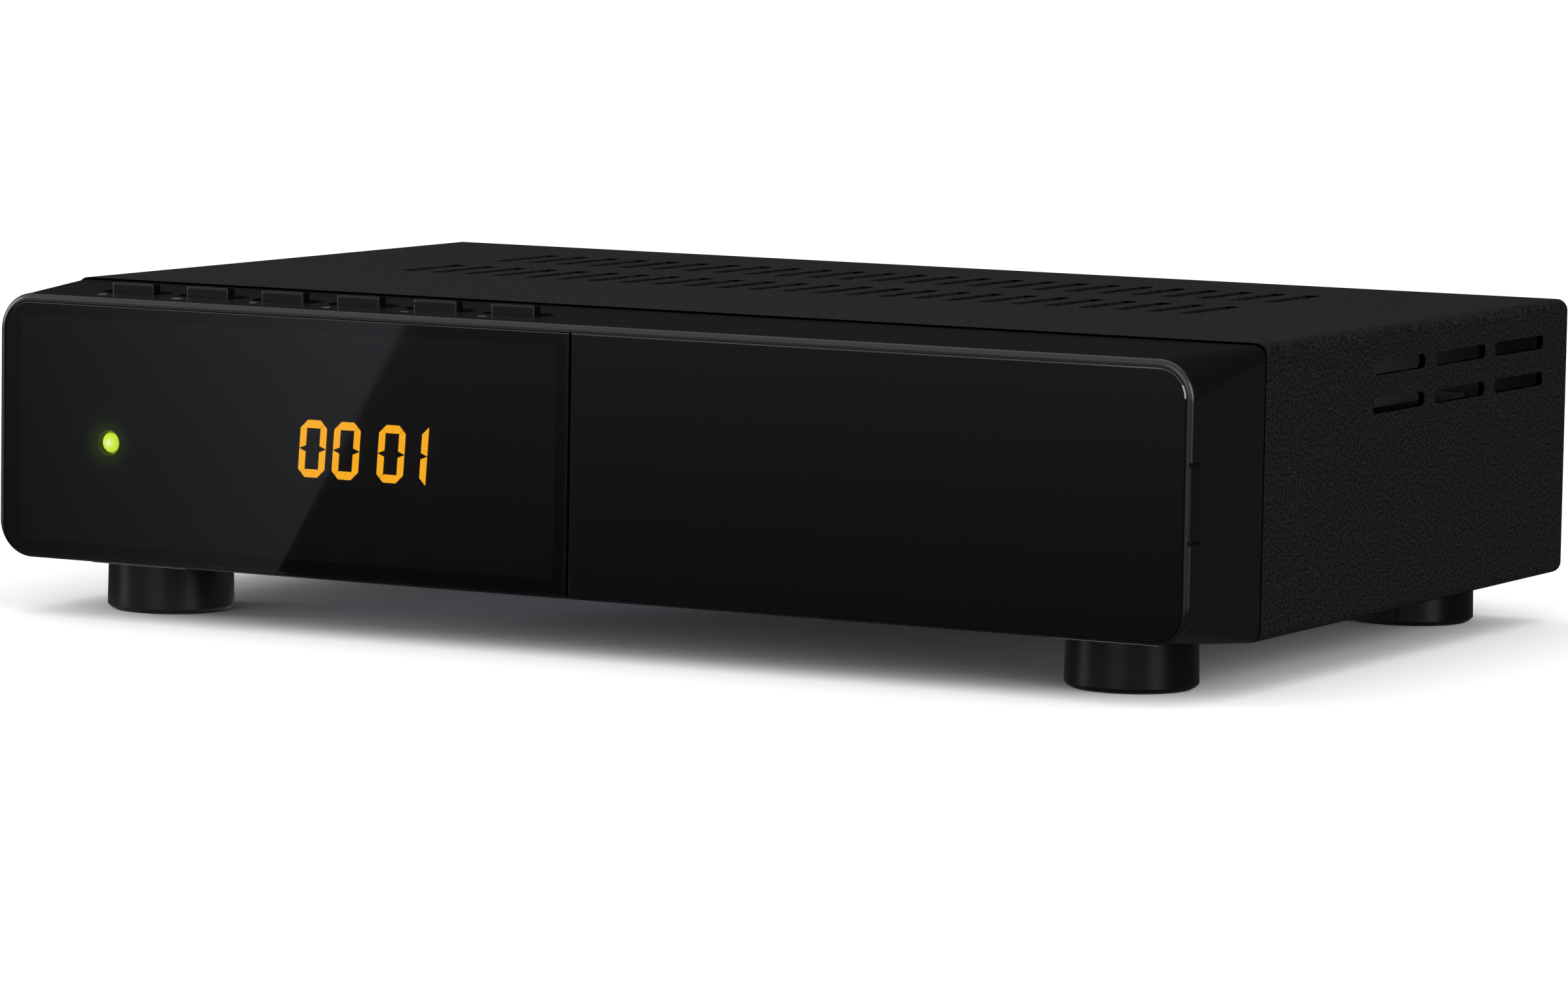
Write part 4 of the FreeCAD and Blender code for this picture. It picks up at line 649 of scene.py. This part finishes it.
def icon_shapes():
    """The shapes of every key's icon, in millimetres about the icon's middle."""
    bar, size = ICON_LINE, ICON_SIZE
    return {
        "power": [ring_icon("power_ring", size / 2, bar),
                  bar_icon("power_bar", bar, size / 2, (0, size / 3))],
        "menu": [bar_icon(f"menu_bar_{i}", size, bar, (0, (i - 1) * size * MENU_STEP)) for i in range(3)],
        "channel_down": [arrow_icon("down_arrow", -1)],
        "channel_up": [arrow_icon("up_arrow", 1)],
        "volume_down": [bar_icon("minus_bar", size, bar)],
        "volume_up": [bar_icon("plus_bar", size, bar), bar_icon("plus_post", bar, size)],
    }


def key_icons():
    """Six small icons, each laid on the bezel's sloping strip in front of its key's left end."""
    material = key_ink()
    bezel = frame["nodes"]["front_bezel"]
    up = Vector((0, 0, 1))
    for key, shapes in icon_shapes().items():
        low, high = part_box(f"{key}_key")
        icon_x = (low.x + high.x) / 2 - ICON_SHIFT * MM
        over = Vector((icon_x, at(0, ICON_Y, 0).y, high.z + ICON_DROP * MM))
        spot, normal = bezel.ray_cast(over, -up)[1:3]
        icon = joined(f"{key}_icon", shapes)
        turn = up.rotation_difference(normal).to_matrix().to_4x4()
        icon.data.transform(Matrix.Translation(spot) @ turn @ Matrix.Scale(MM, 4))
        finish_piece(icon, material, HOUSING)


# Studio


def white_world():
    """A white surround for the eye, for gloss and through glass, and an even soft light on everything."""
    world = bpy.data.worlds.new("studio_surround")
    bpy.context.scene.world = world
    world.use_nodes = True
    tree = world.node_tree
    tree.nodes.clear()
    path = add(tree, "LightPath")
    seen = calc(tree, "MAXIMUM", path.outputs["Is Camera Ray"], path.outputs["Is Glossy Ray"])
    either = calc(tree, "MAXIMUM", seen, path.outputs["Is Transmission Ray"])
    strength = add(tree, "MapRange", Value=either, To_Min=SOFT_LIGHT, To_Max=1.0)
    background = add(tree, "Background", Color=(1, 1, 1, 1), Strength=strength.outputs["Result"])
    output = add(tree, "OutputWorld", Surface=background.outputs["Background"])
    output.is_active_output = True


def floor():
    """A pale matt sheet that keeps the receiver's shadow."""
    bpy.ops.mesh.primitive_plane_add(size=FLOOR_SIZE)
    sheet = bpy.context.object
    sheet.name = "studio_floor"
    sheet.data.materials.append(surface("paper_floor", "#fafafa", roughness=0.9, Specular_IOR_Level=0.0))


def card(name, middle, size, material, turn=ORIGIN):
    """A studio card that only reflections see."""
    deselect()
    bpy.ops.mesh.primitive_plane_add(size=1, location=middle, rotation=turn)
    piece = bpy.context.object
    piece.name = name
    piece.scale = (*size, 1)
    bpy.ops.object.transform_apply(location=True, rotation=True, scale=True)
    piece.data.materials.append(material)
    for ray in ("camera", "diffuse", "transmission", "shadow", "volume_scatter"):
        setattr(piece, f"visible_{ray}", False)


def card_material(name):
    """The material of a card, still without its light."""
    material = bpy.data.materials.new(name)
    material.use_nodes = True
    material.node_tree.nodes.clear()
    add(material.node_tree, "TexCoord")
    return material


def emit(material, strength):
    """Gives a card its light."""
    emission = add(material.node_tree, "Emission", Color=CARD_COLOUR, Strength=strength)
    add(material.node_tree, "OutputMaterial", Surface=emission.outputs["Emission"])


def floor_card():
    """A dark sheet that the polished front mirrors: lighter far off, with one brighter slanting patch."""
    material = card_material("floor_card")
    tree = material.node_tree
    place = place_of(material)
    parts = add(tree, "SeparateXYZ", Vector=place)
    far = add(tree, "MapRange", Value=parts.outputs["Y"], From_Min=FAR_Y, From_Max=NEAR_Y,
              To_Min=FAR_LIGHT, To_Max=NEAR_LIGHT)
    along = vector_calc(tree, "DOT_PRODUCT", "Value", place, PATCH_WAY)
    fade = add(tree, "MapRange", {"clamp": False}, Value=along, From_Min=PATCH_FROM, From_Max=PATCH_TO,
               To_Min=PATCH_LIGHT, To_Max=0.0)
    patch = add(tree, "Clamp", Value=fade.outputs["Result"], Min=0.0, Max=PATCH_MOST)
    (x0, y0), (x1, y1) = PATCH_EDGE
    out = Vector((y1 - y0, x0 - x1, 0)).normalized()
    side = vector_calc(tree, "DOT_PRODUCT", "Value", place, out)
    inside = calc(tree, "GREATER_THAN", side, out.dot((x0, y0, 0)))
    lit = calc(tree, "MULTIPLY", inside, patch.outputs["Result"])
    emit(material, calc(tree, "ADD", far.outputs["Result"], lit))
    card("floor_card", (0, 0, CARD_LIFT), FLOOR_CARD_SIZE, material)


def dark_screens():
    """Dark screens behind and to the right, which keep the top and the side from shining white."""
    for name, middle, size, light, turn in SCREENS:
        material = card_material(name)
        emit(material, light)
        card(name, middle, size, material, turn)


def softboxes():
    """Rectangular lamps, all aimed at the receiver's foot."""
    for name, place, size, watts in SOFTBOXES:
        lamp = bpy.data.lights.new(name, "AREA")
        lamp.shape = "RECTANGLE"
        lamp.size, lamp.size_y = size
        lamp.energy = watts
        piece = bpy.data.objects.new(name, lamp)
        piece.location = place
        piece.rotation_euler = (Vector(ORIGIN) - Vector(place)).to_track_quat("-Z", "Y").to_euler()
        bpy.context.collection.objects.link(piece)


def camera():
    """A long lens from the right of the front, a little above the case."""
    lens = bpy.data.cameras.new("studio_camera")
    lens.lens = CAMERA_LENS
    lens.sensor_width = SENSOR_WIDTH
    lens.sensor_fit = "HORIZONTAL"
    lens.clip_start = CAMERA_NEAR
    piece = bpy.data.objects.new("studio_camera", lens)
    turn = Matrix.Rotation(-CAMERA_YAW, 4, "Z") @ Matrix.Rotation(math.pi / 2 - CAMERA_PITCH, 4, "X")
    piece.matrix_world = Matrix.Translation(CAMERA_PLACE) @ turn @ Matrix.Rotation(CAMERA_ROLL, 4, "Z")
    bpy.context.collection.objects.link(piece)
    bpy.context.scene.camera = piece


camera()
dress_nodes()
lit_digits()
key_icons()
white_world()
floor()
floor_card()
dark_screens()
softboxes()
bpy.context.scene.view_settings.view_transform = "Standard"
